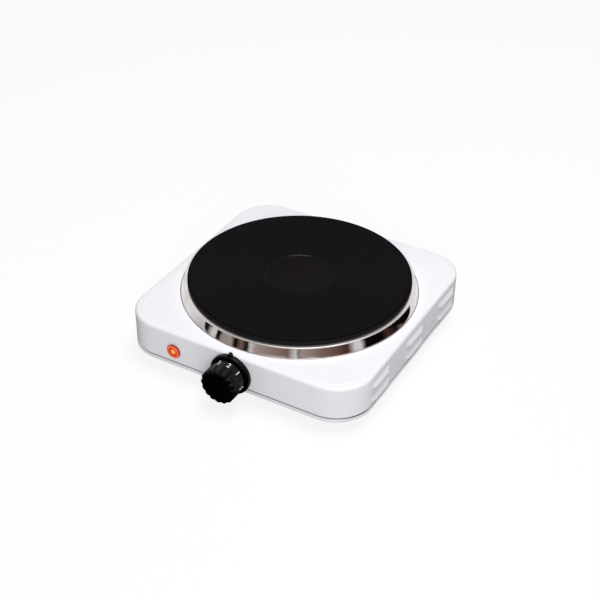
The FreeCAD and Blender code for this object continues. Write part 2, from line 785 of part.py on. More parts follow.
def make_control_shaft():
    shaft = shaft_solid("0", "regulator_back - shaft_tail", "shaft_hole_end - shaft_gap")
    finish(shaft, "control_shaft", 0, "front_y", "knob_z", "front")


def make_cam():
    """A spiral cam, whose radius at the follower grows evenly as the knob turns, closed by an arc."""
    low = -size("cam_turn_up") - size("cam_run_over")
    high = size("cam_turn_down") + size("cam_run_over")

    def edge_point(clockwise):
        radius = size("cam_radius") - size("cam_rise_per_degree") * clockwise
        angle = math.radians(90 - clockwise)
        return FreeCAD.Vector(radius * math.cos(angle), radius * math.sin(angle), 0)

    spiral = Part.BSplineCurve()
    step = (high - low) / CAM_STEPS
    spiral.interpolate([edge_point(low + step * count) for count in range(CAM_STEPS + 1)])
    first, last = edge_point(low), edge_point(high)
    radius = (first.Length + last.Length) / 2
    turn = math.radians(90 - (low + 360 + high) / 2)
    closing = Part.Arc(last, FreeCAD.Vector(radius * math.cos(turn), radius * math.sin(turn), 0), first)
    outline = Part.Wire([spiral.toShape(), closing.toShape()])
    disc = Part.Face(outline).extrude(Z_AXIS * size("cam_width"))
    hole = Part.makeCylinder(size("shaft_radius") + size("shaft_gap") / 2, size("cam_width"))
    cam = doc.addObject("Part::Feature", "cam")
    cam.Shape = disc.cut(hole)
    finish(cam, "cam", 0, "front_y + cam_back", "knob_z", "front")


def make_follower():
    """The lever that rides on the cam, its pin across the case, and the bimetal strip beside its tail."""
    width = "cam_width"
    back = "-cam_back"
    pivot = "-lever_reach"
    arm = block("lever_reach + lever_tail", "lever_gauge", width,
                "(lever_tail - lever_reach) / 2", "lever_y", back)
    nose = cylinder("lever_nose_radius", width, 0, "lever_y", back)
    hub = cylinder("lever_hub_radius", width, pivot, "lever_y", back)
    hole = cylinder("lever_pin_radius + shaft_gap", f"3 * {width}", pivot, "lever_y", f"{back} - {width}")
    finish(cut(fuse(arm, nose, hub), hole), "follower_lever", 0, "front_y", "knob_z", "front")
    pin = cylinder("lever_pin_radius", "case_depth - case_wall")
    finish(pin, "lever_pin", pivot, "front_y - case_back", "knob_z + lever_y", "front")
    floor = "-(case_height / 2 - case_wall)"
    blade_height = "lever_y - lever_gauge + case_height / 2 - case_wall"
    blade = block("bimetal_gauge", blade_height, width, "bimetal_x", f"{floor} + ({blade_height}) / 2", back)
    foot = block("bimetal_foot", "bimetal_gauge", width, "bimetal_x + bimetal_gauge / 2 - bimetal_foot / 2",
                 f"{floor} + bimetal_gauge / 2", back)
    finish(fuse(blade, foot), "bimetal_strip", 0, "front_y", "knob_z", "front")


def make_pilot_lamp():
    lens = lathe("lens_body", [
        (0, "lens_eye_height"), ("lens_eye_radius", "lens_eye_height"),
        ("lens_eye_radius + lens_slope", "lens_groove_height"),
        ("lens_ring_radius - lens_slope", "lens_groove_height"),
        ("lens_ring_radius", "lens_proud"), ("lens_radius - lens_edge", "lens_proud"),
        ("lens_radius", "lens_proud - lens_edge"), ("lens_radius", 0), ("lens_body_radius", 0),
        ("lens_body_radius", "-lens_body_length"), ("lens_bore_radius", "-lens_body_length"),
        ("lens_bore_radius", "-sheet_gauge"), (0, "-sheet_gauge"),
    ])
    finish(lens, "pilot_lens", "lamp_x", "front_y", "lamp_z", "front")
    clip = cut(cylinder("clip_radius", "clip_gauge", z="-sheet_gauge - clip_gauge"),
               cylinder("lens_body_radius + thread_gap", "3 * clip_gauge", z="-sheet_gauge - 2 * clip_gauge"))
    finish(clip, "pilot_clip", "lamp_x", "front_y", "lamp_z", "front")
    plug_top = "cap_plug - lens_body_length"
    bulb_tip = f"{plug_top} + bulb_length"
    bulb = rounded_lathe("bulb_body", [
        (0, plug_top), ("bulb_radius", plug_top), ("bulb_radius", bulb_tip), (0, bulb_tip),
    ], bulb_tip, "bulb_round", "bulb_radius")
    finish(bulb, "neon_bulb", "lamp_x", "front_y", "lamp_z", "front")
    cap = lathe("cap_body", [
        (0, plug_top), ("lens_bore_radius - thread_gap", plug_top),
        ("lens_bore_radius - thread_gap", "-lens_body_length"), ("cap_radius", "-lens_body_length"),
        ("cap_radius", "-lens_body_length - cap_length"), (0, "-lens_body_length - cap_length"),
    ])
    finish(cap, "pilot_cap", "lamp_x", "front_y", "lamp_z", "front")


def make_cord_gland():
    end = "-sheet_gauge - gland_body_length"
    gland = rounded_lathe("gland_body", [
        ("gland_bore_radius", "gland_reach"), ("gland_radius", "gland_reach"), ("gland_radius", 0),
        ("gland_body_radius", 0), ("gland_body_radius", end), ("gland_bore_radius", end),
    ], "gland_reach", "gland_edge_radius", "gland_radius")
    finish(gland, "cord_gland", 0, "back_y", "gland_z", "back")
    nut = cut(hexagon("gland_nut_flats", "gland_nut_height", z="-sheet_gauge - gland_nut_height"),
              cylinder("gland_body_radius + thread_gap", "3 * gland_nut_height", z="-3 * gland_nut_height"))
    finish(nut, "gland_nut", 0, "back_y", "gland_z", "back")


def make_supply_terminals():
    """A three-pole porcelain block on the base, its clamping and fixing screws, and the earth tab."""
    poles = [f"{pole} * pole_pitch" for pole in (-1, 0, 1)]
    body = block("block_width", "block_depth", "block_height", 0, "block_y", "floor_z")
    holes = []
    clamps = []
    for x in poles:
        holes.append(cylinder("pole_radius", "block_depth + 2 * overcut",
                              x, "block_y + block_depth / 2 + overcut", "pole_z", "front"))
        holes.append(cylinder("pole_screw_radius + thread_gap", "block_height", x, "block_y", "pole_z"))
        clamps.append(cylinder("pole_screw_radius", "pole_screw_length",
                               x, "block_y", "pole_z + lead_radius + lead_gap"))
    screws = []
    for x in block_screw_places():
        holes.append(cylinder("block_screw_radius + thread_gap", "2 * block_height",
                              x, "block_y", "floor_z - overcut"))
        shank = cylinder("block_screw_radius", "block_screw_length",
                         x, "block_y", "block_top - block_screw_length")
        head = cylinder("block_screw_head", "block_screw_radius", x, "block_y", "block_top")
        screws.append(fuse(shank, head))
    finish(cut(body, *holes), "supply_terminal_block")
    finish(fuse(*clamps), "clamping_screws")
    finish(fuse(*screws), "block_screws")
    upright = block("tab_width", "tab_gauge", "earth_height", 0, "earth_y", "floor_z")
    sole = block("earth_foot", "earth_foot", "tab_gauge",
                 0, "earth_y - earth_foot / 2 + tab_gauge / 2", "floor_z")
    finish(fuse(upright, sole), "earth_tab")


def bent_lead(label, radius, points):
    """A lead swept along straight runs, with a tangent arc at each bend as large as its two runs allow."""
    points = [FreeCAD.Vector(*(worth(text) for text in point)) for point in points]
    edges = []
    start = points[0]
    for before, corner, after in zip(points, points[1:], points[2:]):
        back, ahead = (before - corner), (after - corner)
        half_turn = (math.pi - back.getAngle(ahead)) / 2
        setback = 0.45 * min(back.Length, ahead.Length)
        arc_start = corner + back.normalize() * setback
        arc_end = corner + ahead.normalize() * setback
        bisector = (back + ahead).normalize()
        bend = setback / math.tan(half_turn)
        middle = corner + bisector * (bend / math.cos(half_turn) - bend)
        edges.append(Part.LineSegment(start, arc_start).toShape())
        edges.append(Part.Arc(arc_start, middle, arc_end).toShape())
        start = arc_end
        print(f"{label}: bend radius {bend:.1f}")
    edges.append(Part.LineSegment(start, points[-1]).toShape())
    path = Part.Wire(edges)
    section = Part.Wire(Part.Circle(points[0], points[1] - points[0], size(radius)).toShape())
    lead = doc.addObject("Part::Feature", label)
    lead.Shape = path.makePipeShell([section], True, False)
    filled = lead.Shape.Volume / (math.pi * size(radius) ** 2 * path.Length)
    if abs(filled - 1) > 0.01:
        raise RuntimeError(f"{label} holds {filled:.3f} of its section times its length")
    finish(lead, label)


def make_leads():
    """Internal wiring: supply block to regulator and plate, lamp across the plate, and earth to the base."""
    low = "floor_z + lead_floor_gap + lead_radius"
    floor_run = "floor_z + lamp_lead_radius + lead_gap"
    pole_end = "block_y - block_depth / 4"
    tab_y = "front_y - tab_back + lead_gap"
    tab_z = "knob_z - tab_drop"
    pin_end = "pin_z - lead_gap"
    bent_lead("lead_live", "lead_radius", [
        ("pole_pitch", pole_end, "pole_z"), ("pole_pitch", "pin_outer_y - 8", "pole_z"),
        ("lead_side", "lead_run", low), ("lead_side", "-lead_run", low),
        ("tab_x", f"{tab_y} + 17", tab_z), ("tab_x", tab_y, tab_z),
    ])
    bent_lead("lead_load", "lead_radius", [
        ("-tab_x", tab_y, tab_z), ("-tab_x", f"{tab_y} + 18", tab_z),
        ("-lead_side", "-lead_run", low), ("-lead_side", 0, low),
        ("pin_half_pitch - 15", "pin_inner_y - 13", low), ("pin_half_pitch", "pin_inner_y", low),
        ("pin_half_pitch", "pin_inner_y", pin_end),
    ])
    bent_lead("lead_neutral", "lead_radius", [
        ("-pole_pitch", pole_end, "pole_z"), ("-pole_pitch", "pin_inner_y + 16", "pole_z"),
        ("-pin_half_pitch", "pin_inner_y", "pole_z - 2"), ("-pin_half_pitch", "pin_inner_y", pin_end),
    ])
    bent_lead("lead_earth", "lead_radius", [
        (0, pole_end, "pole_z"), (0, "earth_y + tab_gauge / 2 + lead_gap", "pole_z"),
    ])
    cap_end = "front_y + lens_body_length + cap_length + lead_gap"
    bent_lead("lead_lamp_load", "lamp_lead_radius", [
        ("lamp_x + 2", cap_end, "lamp_z"), ("lamp_x + 2", f"{cap_end} + 12", "lamp_z"),
        ("-tab_x - 24", f"{tab_y} - 4", tab_z), ("-tab_x - tab_width / 2 - lead_gap", f"{tab_y} - 4", tab_z),
    ])
    bent_lead("lead_lamp_neutral", "lamp_lead_radius", [
        ("lamp_x - 2", cap_end, "lamp_z"), ("lamp_x - 2", f"{cap_end} + 22", "lamp_z"),
        ("-lamp_lead_side", "-lamp_lead_run", floor_run), ("-lamp_lead_side", "lamp_lead_run / 2", floor_run),
        ("-lamp_lead_run", "pin_outer_y - 6", floor_run), ("-pin_half_pitch", "pin_outer_y", floor_run),
        ("-pin_half_pitch", "pin_outer_y", pin_end),
    ])


def check_and_write():
    """Stop on anything that failed to build, then write one file for each sub-part."""
    doc.recompute()
    for thing in doc.Objects:
        if {"Invalid", "Error"} & set(thing.State):
            raise RuntimeError(f"{thing.Name} ({thing.Label}) failed: {thing.State}")
    for thing in finished:
        if thing.Shape.isNull() or not thing.Shape.isValid() or not thing.Shape.Solids:
            raise RuntimeError(f"{thing.Label} has no valid solid")
    os.makedirs("parts", exist_ok=True)
    for thing in finished:
        thing.Shape.exportStep(f"parts/{thing.Label}.step")
    print(len(finished), "sub-parts written")


fill_sheet()
make_upper_shell()
make_base_pan()
make_feet()
make_cast_iron_plate()
make_trim_ring()
make_heating_circuit()
make_plate_clamping()
make_knob()
make_bezel()
make_regulator_case()
make_control_shaft()
make_cam()
make_follower()
make_pilot_lamp()
make_cord_gland()
make_supply_terminals()
make_leads()
check_and_write()
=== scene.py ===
# %% [markdown]
# A single electric hot plate: a white enamelled case, a black cast-iron plate in a polished trim ring, a
# ribbed control knob and a small pilot lamp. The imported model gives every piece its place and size, in
# metres. This lesson dresses it: pieces whose surface matters are built again with their real rounds,
# grooves and ribs, and every piece gets a finish made of nodes.

# %% Load the frame
import bpy
import bmesh
import json
import math
from mathutils import Matrix, Vector


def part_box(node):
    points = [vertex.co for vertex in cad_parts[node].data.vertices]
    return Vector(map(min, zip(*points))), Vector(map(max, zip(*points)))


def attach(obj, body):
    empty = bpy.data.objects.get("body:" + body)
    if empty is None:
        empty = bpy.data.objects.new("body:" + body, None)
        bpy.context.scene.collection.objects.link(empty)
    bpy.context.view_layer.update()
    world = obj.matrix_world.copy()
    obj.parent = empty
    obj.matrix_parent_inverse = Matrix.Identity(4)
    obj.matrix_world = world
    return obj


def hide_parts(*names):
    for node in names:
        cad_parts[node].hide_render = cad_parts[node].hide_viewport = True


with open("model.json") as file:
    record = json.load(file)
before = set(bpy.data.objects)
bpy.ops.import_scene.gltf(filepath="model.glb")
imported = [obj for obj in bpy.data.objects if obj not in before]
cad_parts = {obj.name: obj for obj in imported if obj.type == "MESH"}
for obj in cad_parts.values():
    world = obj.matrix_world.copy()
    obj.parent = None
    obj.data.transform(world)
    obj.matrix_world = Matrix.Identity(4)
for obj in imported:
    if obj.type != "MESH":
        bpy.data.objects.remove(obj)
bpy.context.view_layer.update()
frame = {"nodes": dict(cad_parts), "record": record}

MM = 0.001
nodes = frame["nodes"]

# %% [markdown]
# The camera comes first, because everything later is judged through it. A camera can be aimed by eye, but
# here its place was worked out once from the round plate and the square case: it looks down at 35 degrees
# from the front right corner. A long lens keeps the perspective gentle, and a small shift puts the object
# where the picture has it.

# %% Camera at the photograph's angle
plate_low, plate_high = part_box("cast_iron_plate")
base_low, base_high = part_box("base_pan")
shell_low, shell_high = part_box("upper_shell")
AXIS = (plate_low + plate_high) / 2
CAMERA_AZIMUTH, CAMERA_ELEVATION, CAMERA_ROLL = 29.286, 34.684, 0.702
CAMERA_DISTANCE = 1.0
FOCAL_PIXELS, IMAGE_PIXELS = 1206.6, 600
PRINCIPAL_X, PRINCIPAL_Y = 299.70, 286.67
PLATE_STAND = 13 * MM


def add_camera():
    """A camera that looks at the plate's axis, level with the case's top."""
    around, above = math.radians(CAMERA_AZIMUTH), math.radians(CAMERA_ELEVATION)
    back = Vector((math.sin(around) * math.cos(above), -math.cos(around) * math.cos(above), math.sin(above)))
    lens = bpy.data.cameras.new("camera")
    lens.sensor_width = 36
    lens.lens = FOCAL_PIXELS / IMAGE_PIXELS * lens.sensor_width
    lens.shift_x = (IMAGE_PIXELS / 2 - PRINCIPAL_X) / IMAGE_PIXELS
    lens.shift_y = (PRINCIPAL_Y - IMAGE_PIXELS / 2) / IMAGE_PIXELS
    camera = bpy.data.objects.new("camera", lens)
    aim = Vector((AXIS.x, AXIS.y, plate_high.z - PLATE_STAND))
    camera.location = aim + back * CAMERA_DISTANCE
    camera.rotation_mode = "QUATERNION"
    roll = Matrix.Rotation(math.radians(CAMERA_ROLL), 4, back)
    camera.rotation_quaternion = roll.to_quaternion() @ (-back).to_track_quat("-Z", "Y")
    bpy.context.scene.collection.objects.link(camera)
    bpy.context.scene.camera = camera
    return camera


camera = add_camera()
bpy.context.scene.view_settings.view_transform = "Standard"
print("camera with a", round(camera.data.lens, 1), "mm lens")

# %% [markdown]
# Finishes and repeated shapes are both node trees. Adding nodes one by one in Python is long, so one small
# class wraps a socket: arithmetic on it adds Math nodes, and a single method makes any other node from its
# type, its settings and its inputs. The same class serves shader trees and geometry trees.


# %% Sockets that do arithmetic
class Wire:
    """An output socket of a node tree. Sums with it add Math nodes."""

    def __init__(self, tree, socket):
        self.tree = tree
        self.socket = socket

    def math(self, operation, first, second=0.0):
        return self.tree.node("ShaderNodeMath", {"operation": operation}, {0: first, 1: second})

    def __add__(self, other):
        return self.math("ADD", self, other)

    def __radd__(self, other):
        return self.math("ADD", other, self)

    def __sub__(self, other):
        return self.math("SUBTRACT", self, other)

    def __rsub__(self, other):
        return self.math("SUBTRACT", other, self)

    def __mul__(self, other):
        return self.math("MULTIPLY", self, other)

    def __rmul__(self, other):
        return self.math("MULTIPLY", other, self)

    def __truediv__(self, other):
        return self.math("DIVIDE", self, other)

    def __pow__(self, other):
        return self.math("POWER", self, other)

    def out(self, name):
        """Another output of the same node."""
        return Wire(self.tree, self.socket.node.outputs[name])


class Tree:
    """A node tree that is filled by one method."""

    def __init__(self, tree):
        self.tree = tree
        tree.nodes.clear()

    def node(self, kind, settings=None, inputs=None, output=0):
        """Add a node: its settings first, then the values or links of its inputs."""
        made = self.tree.nodes.new(kind)
        for name, value in (settings or {}).items():
            if name == "stops":
                self.set_stops(made.color_ramp, value)
            else:
                setattr(made, name, value)
        for name, value in (inputs or {}).items():
            if isinstance(value, Wire):
                self.tree.links.new(value.socket, made.inputs[name])
            else:
                made.inputs[name].default_value = value
        return Wire(self, made.outputs[output]) if len(made.outputs) else made

    def set_stops(self, ramp, stops):
        """Fill a colour ramp from (place, colour) pairs."""
        while len(ramp.elements) > 1:
            ramp.elements.remove(ramp.elements[0])
        ramp.elements[0].position, ramp.elements[0].color = stops[0]
        for place, colour in stops[1:]:
            ramp.elements.new(place).color = colour


print("socket class ready")

# %% [markdown]
# A finish starts from where a point lies on the piece, so patterns keep their real scale in millimetres.
# These helpers add what most finishes share: soft noise, a blend of two colours and a bump from a height.


# %% Shared parts of a finish
class Finish(Tree):
    """A material in the making."""

    def __init__(self, name):
        self.material = bpy.data.materials.new(name)
        self.material.use_nodes = True
        super().__init__(self.material.node_tree)
        self.place = self.node("ShaderNodeTexCoord", output="Object")

    def noise(self, size, detail=2.0, stretch=(1, 1, 1), rough=0.5):
        """Noise from 0 to 1 whose blobs are about this many metres across."""
        where = self.node("ShaderNodeMapping", {"vector_type": "POINT"}, {0: self.place, "Scale": stretch})
        return self.node("ShaderNodeTexNoise", {}, {
            "Vector": where, "Scale": 1 / size, "Detail": detail, "Roughness": rough})

    def steps(self, value, low, high, start=0.0, end=1.0):
        """Carry a value from one range to another, without overshoot."""
        return self.node("ShaderNodeMapRange", {"clamp": True}, {
            "Value": value, "From Min": low, "From Max": high, "To Min": start, "To Max": end})

    def blend(self, amount, first, second):
        """Mix two colours."""
        return self.node("ShaderNodeMix", {"data_type": "RGBA"}, {
            0: amount, 6: first, 7: second}, output=2)

    def bump(self, height, depth, strength=1.0):
        """A normal that is tilted by a height in metres."""
        return self.node("ShaderNodeBump", {}, {"Height": height, "Distance": depth, "Strength": strength})

    def done(self, colour, roughness, normal=None, **constants):
        """Close the tree with one surface shader."""
        inputs = {"Base Color": colour, "Roughness": roughness}
        if normal is not None:
            inputs["Normal"] = normal
        inputs.update({name.replace("_", " "): value for name, value in constants.items()})
        surface = self.node("ShaderNodeBsdfPrincipled", {}, inputs)
        self.node("ShaderNodeOutputMaterial", {}, {0: surface})
        return self.material


def tone(red, green, blue):
    """A colour as the eye counts it, from 0 to 255, turned into the linear values that nodes use."""
    def linear(value):
        share = value / 255
        return share / 12.92 if share <= 0.04045 else ((share + 0.055) / 1.055) ** 2.4
    return (linear(red), linear(green), linear(blue), 1.0)


print("finish helpers ready")

# %% [markdown]
# The studio is a wide pale floor, a white surround and two soft lamps, one overhead and one in front. What
# the camera and polished metal see of the floor and the surround is plain white, while the light that
# reaches the object stays at an ordinary level. The floor still darkens under the object, because part of
# what is seen there is its real, lit surface.

# %% Floor, surround and lamps
AMBIENT = 0.30
FLOOR_REACH, FLOOR_GREY, FLOOR_LIT_SHARE = 30.0, 0.7, 0.16


def seen_directly(tree):
    """1 for rays from the camera, from polished surfaces and through clear ones; 0 for scattered light."""
    path = tree.node("ShaderNodeLightPath", output="Is Camera Ray")
    camera_or_gloss = path.math("MAXIMUM", path, path.out("Is Glossy Ray"))
    return path.math("MAXIMUM", camera_or_gloss, path.out("Is Transmission Ray"))


def add_surround():
    """A white surround that lights the object at the ambient level."""
    world = bpy.data.worlds.new("surround")
    bpy.context.scene.world = world
    world.use_nodes = True
    tree = Tree(world.node_tree)
    strength = AMBIENT + (1 - AMBIENT) * seen_directly(tree)
    light = tree.node("ShaderNodeBackground", {}, {"Color": (1, 1, 1, 1), "Strength": strength})
    tree.node("ShaderNodeOutputWorld", {}, {0: light})


def add_floor():
    """A floor at z = 0: pale paint for scattered light, near white with a soft shadow for the camera."""
    mesh = bpy.data.meshes.new("floor")
    corners = [(x * FLOOR_REACH, y * FLOOR_REACH, 0) for x, y in ((-1, -1), (1, -1), (1, 1), (-1, 1))]
    mesh.from_pydata(corners, [], [(0, 1, 2, 3)])
    floor = bpy.data.objects.new("floor", mesh)
    bpy.context.scene.collection.objects.link(floor)
    finish = Finish("floor_paint")
    plain = finish.node("ShaderNodeBsdfDiffuse", {}, {"Color": (FLOOR_GREY,) * 3 + (1,)})
    lit = finish.node("ShaderNodeBsdfDiffuse", {}, {"Color": (FLOOR_LIT_SHARE,) * 3 + (1,)})
    glow = finish.node("ShaderNodeEmission", {}, {"Color": (1, 1, 1, 1), "Strength": 1 - FLOOR_LIT_SHARE})
    shown = finish.node("ShaderNodeAddShader", {}, {0: lit, 1: glow})
    surface = finish.node("ShaderNodeMixShader", {}, {0: seen_directly(finish), 1: plain, 2: shown})
    finish.node("ShaderNodeOutputMaterial", {}, {0: surface})
    finish.material.cycles.emission_sampling = "NONE"
    mesh.materials.append(finish.material)


def add_lamp(name, place, size, power):
    """A square soft lamp that looks at the plate."""
    light = bpy.data.lights.new(name, "AREA")
    light.shape = "SQUARE"
    light.size = size
    light.energy = power
    lamp = bpy.data.objects.new(name, light)
    lamp.location = place
    lamp.rotation_mode = "QUATERNION"
    lamp.rotation_quaternion = (AXIS - Vector(place)).to_track_quat("-Z", "Y")
    bpy.context.scene.collection.objects.link(lamp)


add_surround()
add_floor()
add_lamp("overhead_lamp", (0.20, 0.08, 1.45), 0.7, 12.4)
add_lamp("front_lamp", (0.66, -1.20, 0.62), 0.6, 6.8)
print("studio ready")

# %% [markdown]
# Polished steel has hardly a look of its own: it shows the room. In an all-white room the trim ring would
# vanish, so photographers stand cards round such an object. Here they are a dark table top and a low
# screen, with pale and dark upright patches on it, which only glossy surfaces see. They cast no shadow.
# Neither they nor the glowing floor are sampled as lamps, which keeps grain out of the picture.

# %% Cards for the polished ring to mirror
ROOM = {"pale": tone(230, 231, 234), "grey": tone(172, 160, 155), "brown": tone(128, 104, 94),
        "deep": tone(72, 48, 42), "dark": tone(14, 10, 10)}
ROOM_ROUND = [
    (-80, "pale"), (-65, "grey"), (-59, "dark"), (-48, "dark"), (-43, "pale"), (-39, "pale"), (-38, "dark"),
    (-35, "dark"), (-33, "grey"), (-24, "grey"), (-22, "dark"), (-19, "dark"), (-16, "brown"), (-12, "dark"),
    (-10, "dark"), (-8, "pale"), (-4, "grey"), (21, "brown"), (27, "pale"), (29, "dark"), (30, "grey"),
    (49, "brown"), (67, "deep"), (73, "pale"), (78, "pale"), (81, "dark"), (97, "dark"), (104, "deep"),
    (113, "dark"), (119, "brown"), (123, "dark"), (133, "pale")]
TABLE_FROM, TABLE_HEIGHT = 100 * MM, 0.5 * MM
SCREEN_REACH, SCREEN_HEIGHT, SHELF_HEIGHT = 340 * MM, 200 * MM, 80 * MM
CARD_PANELS = 72


def card_mesh():
    """A table top with a low round screen at its edge."""
    section = [(TABLE_FROM, TABLE_HEIGHT), (SCREEN_REACH, TABLE_HEIGHT), (SCREEN_REACH, SCREEN_HEIGHT)]
    points, faces = [], []
    for panel in range(CARD_PANELS):
        angle = math.tau * panel / CARD_PANELS
        points += [(AXIS.x + r * math.sin(angle), AXIS.y - r * math.cos(angle), z) for r, z in section]
        here, after = 3 * panel, 3 * ((panel + 1) % CARD_PANELS)
        faces += [(here + i, after + i, after + i + 1, here + i + 1) for i in (0, 1)]
    mesh = bpy.data.meshes.new("cards")
    mesh.from_pydata(points, [], faces)
    return mesh


def card_finish():
    """Upright patches round the screen, ragged at the top and crossed by a pale shelf, over a dark table."""
    finish = Finish("cards")
    apart = finish.node("ShaderNodeSeparateXYZ", {}, {0: finish.place})
    z = apart.out("Z")
    sway = finish.noise(24 * MM, 2.0) * 0.008 - 0.004
    turn = apart.math("ARCTAN2", apart - AXIS.x, AXIS.y - apart.out("Y")) / math.tau + 0.5 + sway
    stops = [((degrees + 180) / 360, ROOM[shade]) for degrees, shade in ROOM_ROUND]
    patches = finish.node("ShaderNodeValToRGB", {"stops": stops}, {0: turn})
    ragged = z + finish.noise(40 * MM, 2.0) * 0.5 * SCREEN_HEIGHT
    above = finish.steps(ragged, 0.95 * SCREEN_HEIGHT, 1.2 * SCREEN_HEIGHT)
    off_shelf = apart.math("ABSOLUTE", z - SHELF_HEIGHT)
    shelf = finish.steps(off_shelf, 3 * MM, 9 * MM, 1.0, 0.0) * finish.steps(finish.noise(90 * MM), 0.45, 0.6)
    shelved = finish.blend(shelf * 0.6, patches, ROOM["pale"])
    upright = finish.blend(above, shelved, ROOM["pale"])
    colour = finish.blend(finish.steps(z, 0.6 * MM, 1 * MM), ROOM["dark"], upright)
    light = finish.node("ShaderNodeEmission", {}, {"Color": colour, "Strength": 1.0})
    finish.node("ShaderNodeOutputMaterial", {}, {0: light})
    finish.material.cycles.emission_sampling = "NONE"
    return finish.material


def add_cards():
    """Stand the cards round the object, for glossy rays only."""
    cards = bpy.data.objects.new("cards", card_mesh())
    cards.data.materials.append(card_finish())
    cards.visible_camera = cards.visible_diffuse = cards.visible_shadow = False
    cards.visible_transmission = cards.visible_volume_scatter = False
    bpy.context.scene.collection.objects.link(cards)


add_cards()
print(len(ROOM_ROUND), "patches round the cards")

# %% [markdown]
# White stove enamel is sprayed and fired, so it is glossy but never quite flat: it has a fine orange-peel
# ripple and a slow waviness from the pressed sheet under it. Two noises at those two scales make the bump,
# and the colour drifts by a hair so that a broad wall doesn't look like plastic. The base is painted in the
# same white, a little greyer, and a dark band of painted shade along the top of its rim stands for the
# shadow in the gap under the case.


# %% Enamel and paint
# Painted shade: the height where the dark band for the gap under the case starts, and how much lower it
# starts at the sides.
GAP_SHADE_FROM, SIDE_DROP = 13.45 * MM, 0.32 * MM


def enamel(name, light, dark, gloss, gap_shade=None):
    """Sprayed white coating. If its colour is given, a dark band of painted shade starts at a height that is
    lower at the sides.
    """
    finish = Finish(name)
    peel = finish.noise(1.6 * MM, 1.0)
    wave = finish.noise(26 * MM, 1.0)
    cloud = finish.noise(55 * MM, 2.0)
    colour = finish.blend(finish.steps(cloud, 0.35, 0.65), light, dark)
    # The dark band is painted shade for the gap between the pan and the case.
    if gap_shade:
        apart = finish.node("ShaderNodeSeparateXYZ", {}, {0: finish.place})
        sideways = apart.math("ABSOLUTE", apart - AXIS.x)
        half = base_high.x - AXIS.x
        at_sides = finish.steps(sideways, half - 12 * MM, half - 2 * MM)
        height = apart.out("Z") + at_sides * SIDE_DROP
        colour = finish.blend(finish.steps(height, GAP_SHADE_FROM - 0.2 * MM, GAP_SHADE_FROM), colour, gap_shade)
    roughness = finish.steps(peel, 0.3, 0.7, gloss, gloss + 0.07)
    normal = finish.bump(peel + wave * 6, 0.0015 * MM)
    return finish.done(
        colour, roughness, normal, Specular_IOR_Level=0.25, Coat_Weight=0.08, Coat_Roughness=0.08)


finishes = {}
finishes["enamel"] = enamel("enamel", tone(247, 247, 252), tone(245, 245, 250), 0.24)
# The base's dark band colour is painted shade for the gap under the case.
finishes["base_paint"] = enamel(
    "base_paint", tone(242, 243, 248), tone(238, 239, 244), 0.30, gap_shade=tone(24, 25, 40))
print("enamel and base paint")

# %% [markdown]
# The plate is cast iron, turned on a lathe and blackened with a heat-proof coating. Real grooves are
# modelled later; the finish adds what is smaller than they are: fine tool marks in rings, a sandy grain,
# and a few pale specks of dust. Rings follow the distance from the plate's axis, which is worked out from
# the point's own coordinates.


# %% Blackened cast iron
GROOVES_FROM, GROOVES_TO, GROOVE_COUNT, GROOVE_DEPTH = 29.0, 90.3, 38, 0.30
# The last angle is the camera's bearing round the plate. The recess's edge gets its painted highlight on the
# far side from it.
RECESS_EDGE, SIDE_FROM, GLINT_AZIMUTH = 28.4, 92.0, math.radians(29)


def cast_iron():
    """Black with paler crests, a browner recess, a painted highlight on the recess's edge and a greyer side.
    """
    finish = Finish("cast_iron")
    apart = finish.node("ShaderNodeSeparateXYZ", {}, {0: finish.place})
    x, y = apart - AXIS.x, apart.out("Y") - AXIS.y
    radius = (x * x + y * y) ** 0.5
    tool_marks = finish.node("ShaderNodeTexNoise", {"noise_dimensions": "1D"}, {
        "W": radius, "Scale": 1 / (0.35 * MM), "Detail": 2.0})
    grain = finish.noise(0.5 * MM, 3.0, rough=0.65)
    cloud = finish.noise(34 * MM, 3.0)
    dust = finish.node("ShaderNodeTexVoronoi", {}, {"Vector": finish.place, "Scale": 1 / (9 * MM)})
    speck = finish.steps(dust, 0.020, 0.035, 1.0, 0.0)
    middle = finish.steps(radius, (RECESS_EDGE - 1) * MM, RECESS_EDGE * MM, 1.0, 0.0)
    pitch = (GROOVES_TO - GROOVES_FROM) / GROOVE_COUNT * MM
    crest = 0.5 + 0.5 * apart.math("COSINE", (radius - GROOVES_FROM * MM) * math.tau / pitch)
    in_grooves = (1 - middle) * finish.steps(radius, GROOVES_TO * MM, (GROOVES_TO + 0.3) * MM, 1.0, 0.0)
    side = finish.steps(radius, SIDE_FROM * MM, (SIDE_FROM + 0.3) * MM)
    from_edge = apart.math("ABSOLUTE", radius - RECESS_EDGE * MM)
    # Painted highlight: a pale line on the recess's edge, faint all round and brightest on the side away from
    # the camera.
    away_from_camera = (y * math.cos(GLINT_AZIMUTH) - x * math.sin(GLINT_AZIMUTH)) / radius
    edge_line = finish.steps(from_edge, 0.1 * MM, 0.4 * MM, 1.0, 0.0)
    edge_glint = edge_line * (0.3 + finish.steps(away_from_camera, 0.93, 0.98))
    black = finish.blend(finish.steps(cloud, 0.3, 0.7), tone(2, 2, 3), tone(5, 4, 6))
    ringed = finish.blend(finish.steps(tool_marks, 0.45, 0.75) * 0.25, black, tone(20, 17, 20))
    crested = finish.blend(crest ** 3 * in_grooves * 0.62, ringed, tone(40, 35, 40))
    browner = finish.blend(middle * 0.75, crested, finish.blend(cloud, tone(28, 23, 23), tone(15, 12, 13)))
    sided = finish.blend(side * 0.8, browner, tone(34, 32, 36))
    glinted = finish.blend(edge_glint * 0.35, sided, tone(104, 97, 94))
    colour = finish.blend(speck * 0.55, glinted, tone(150, 142, 132))
    roughness = finish.steps(grain, 0.25, 0.75, 0.50, 0.68)
    normal = finish.bump(grain * 0.6 + tool_marks * 0.4, 0.05 * MM, 0.7)
    return finish.done(colour, roughness, normal, Specular_IOR_Level=0.02)


finishes["cast_iron"] = cast_iron()
print("cast iron")
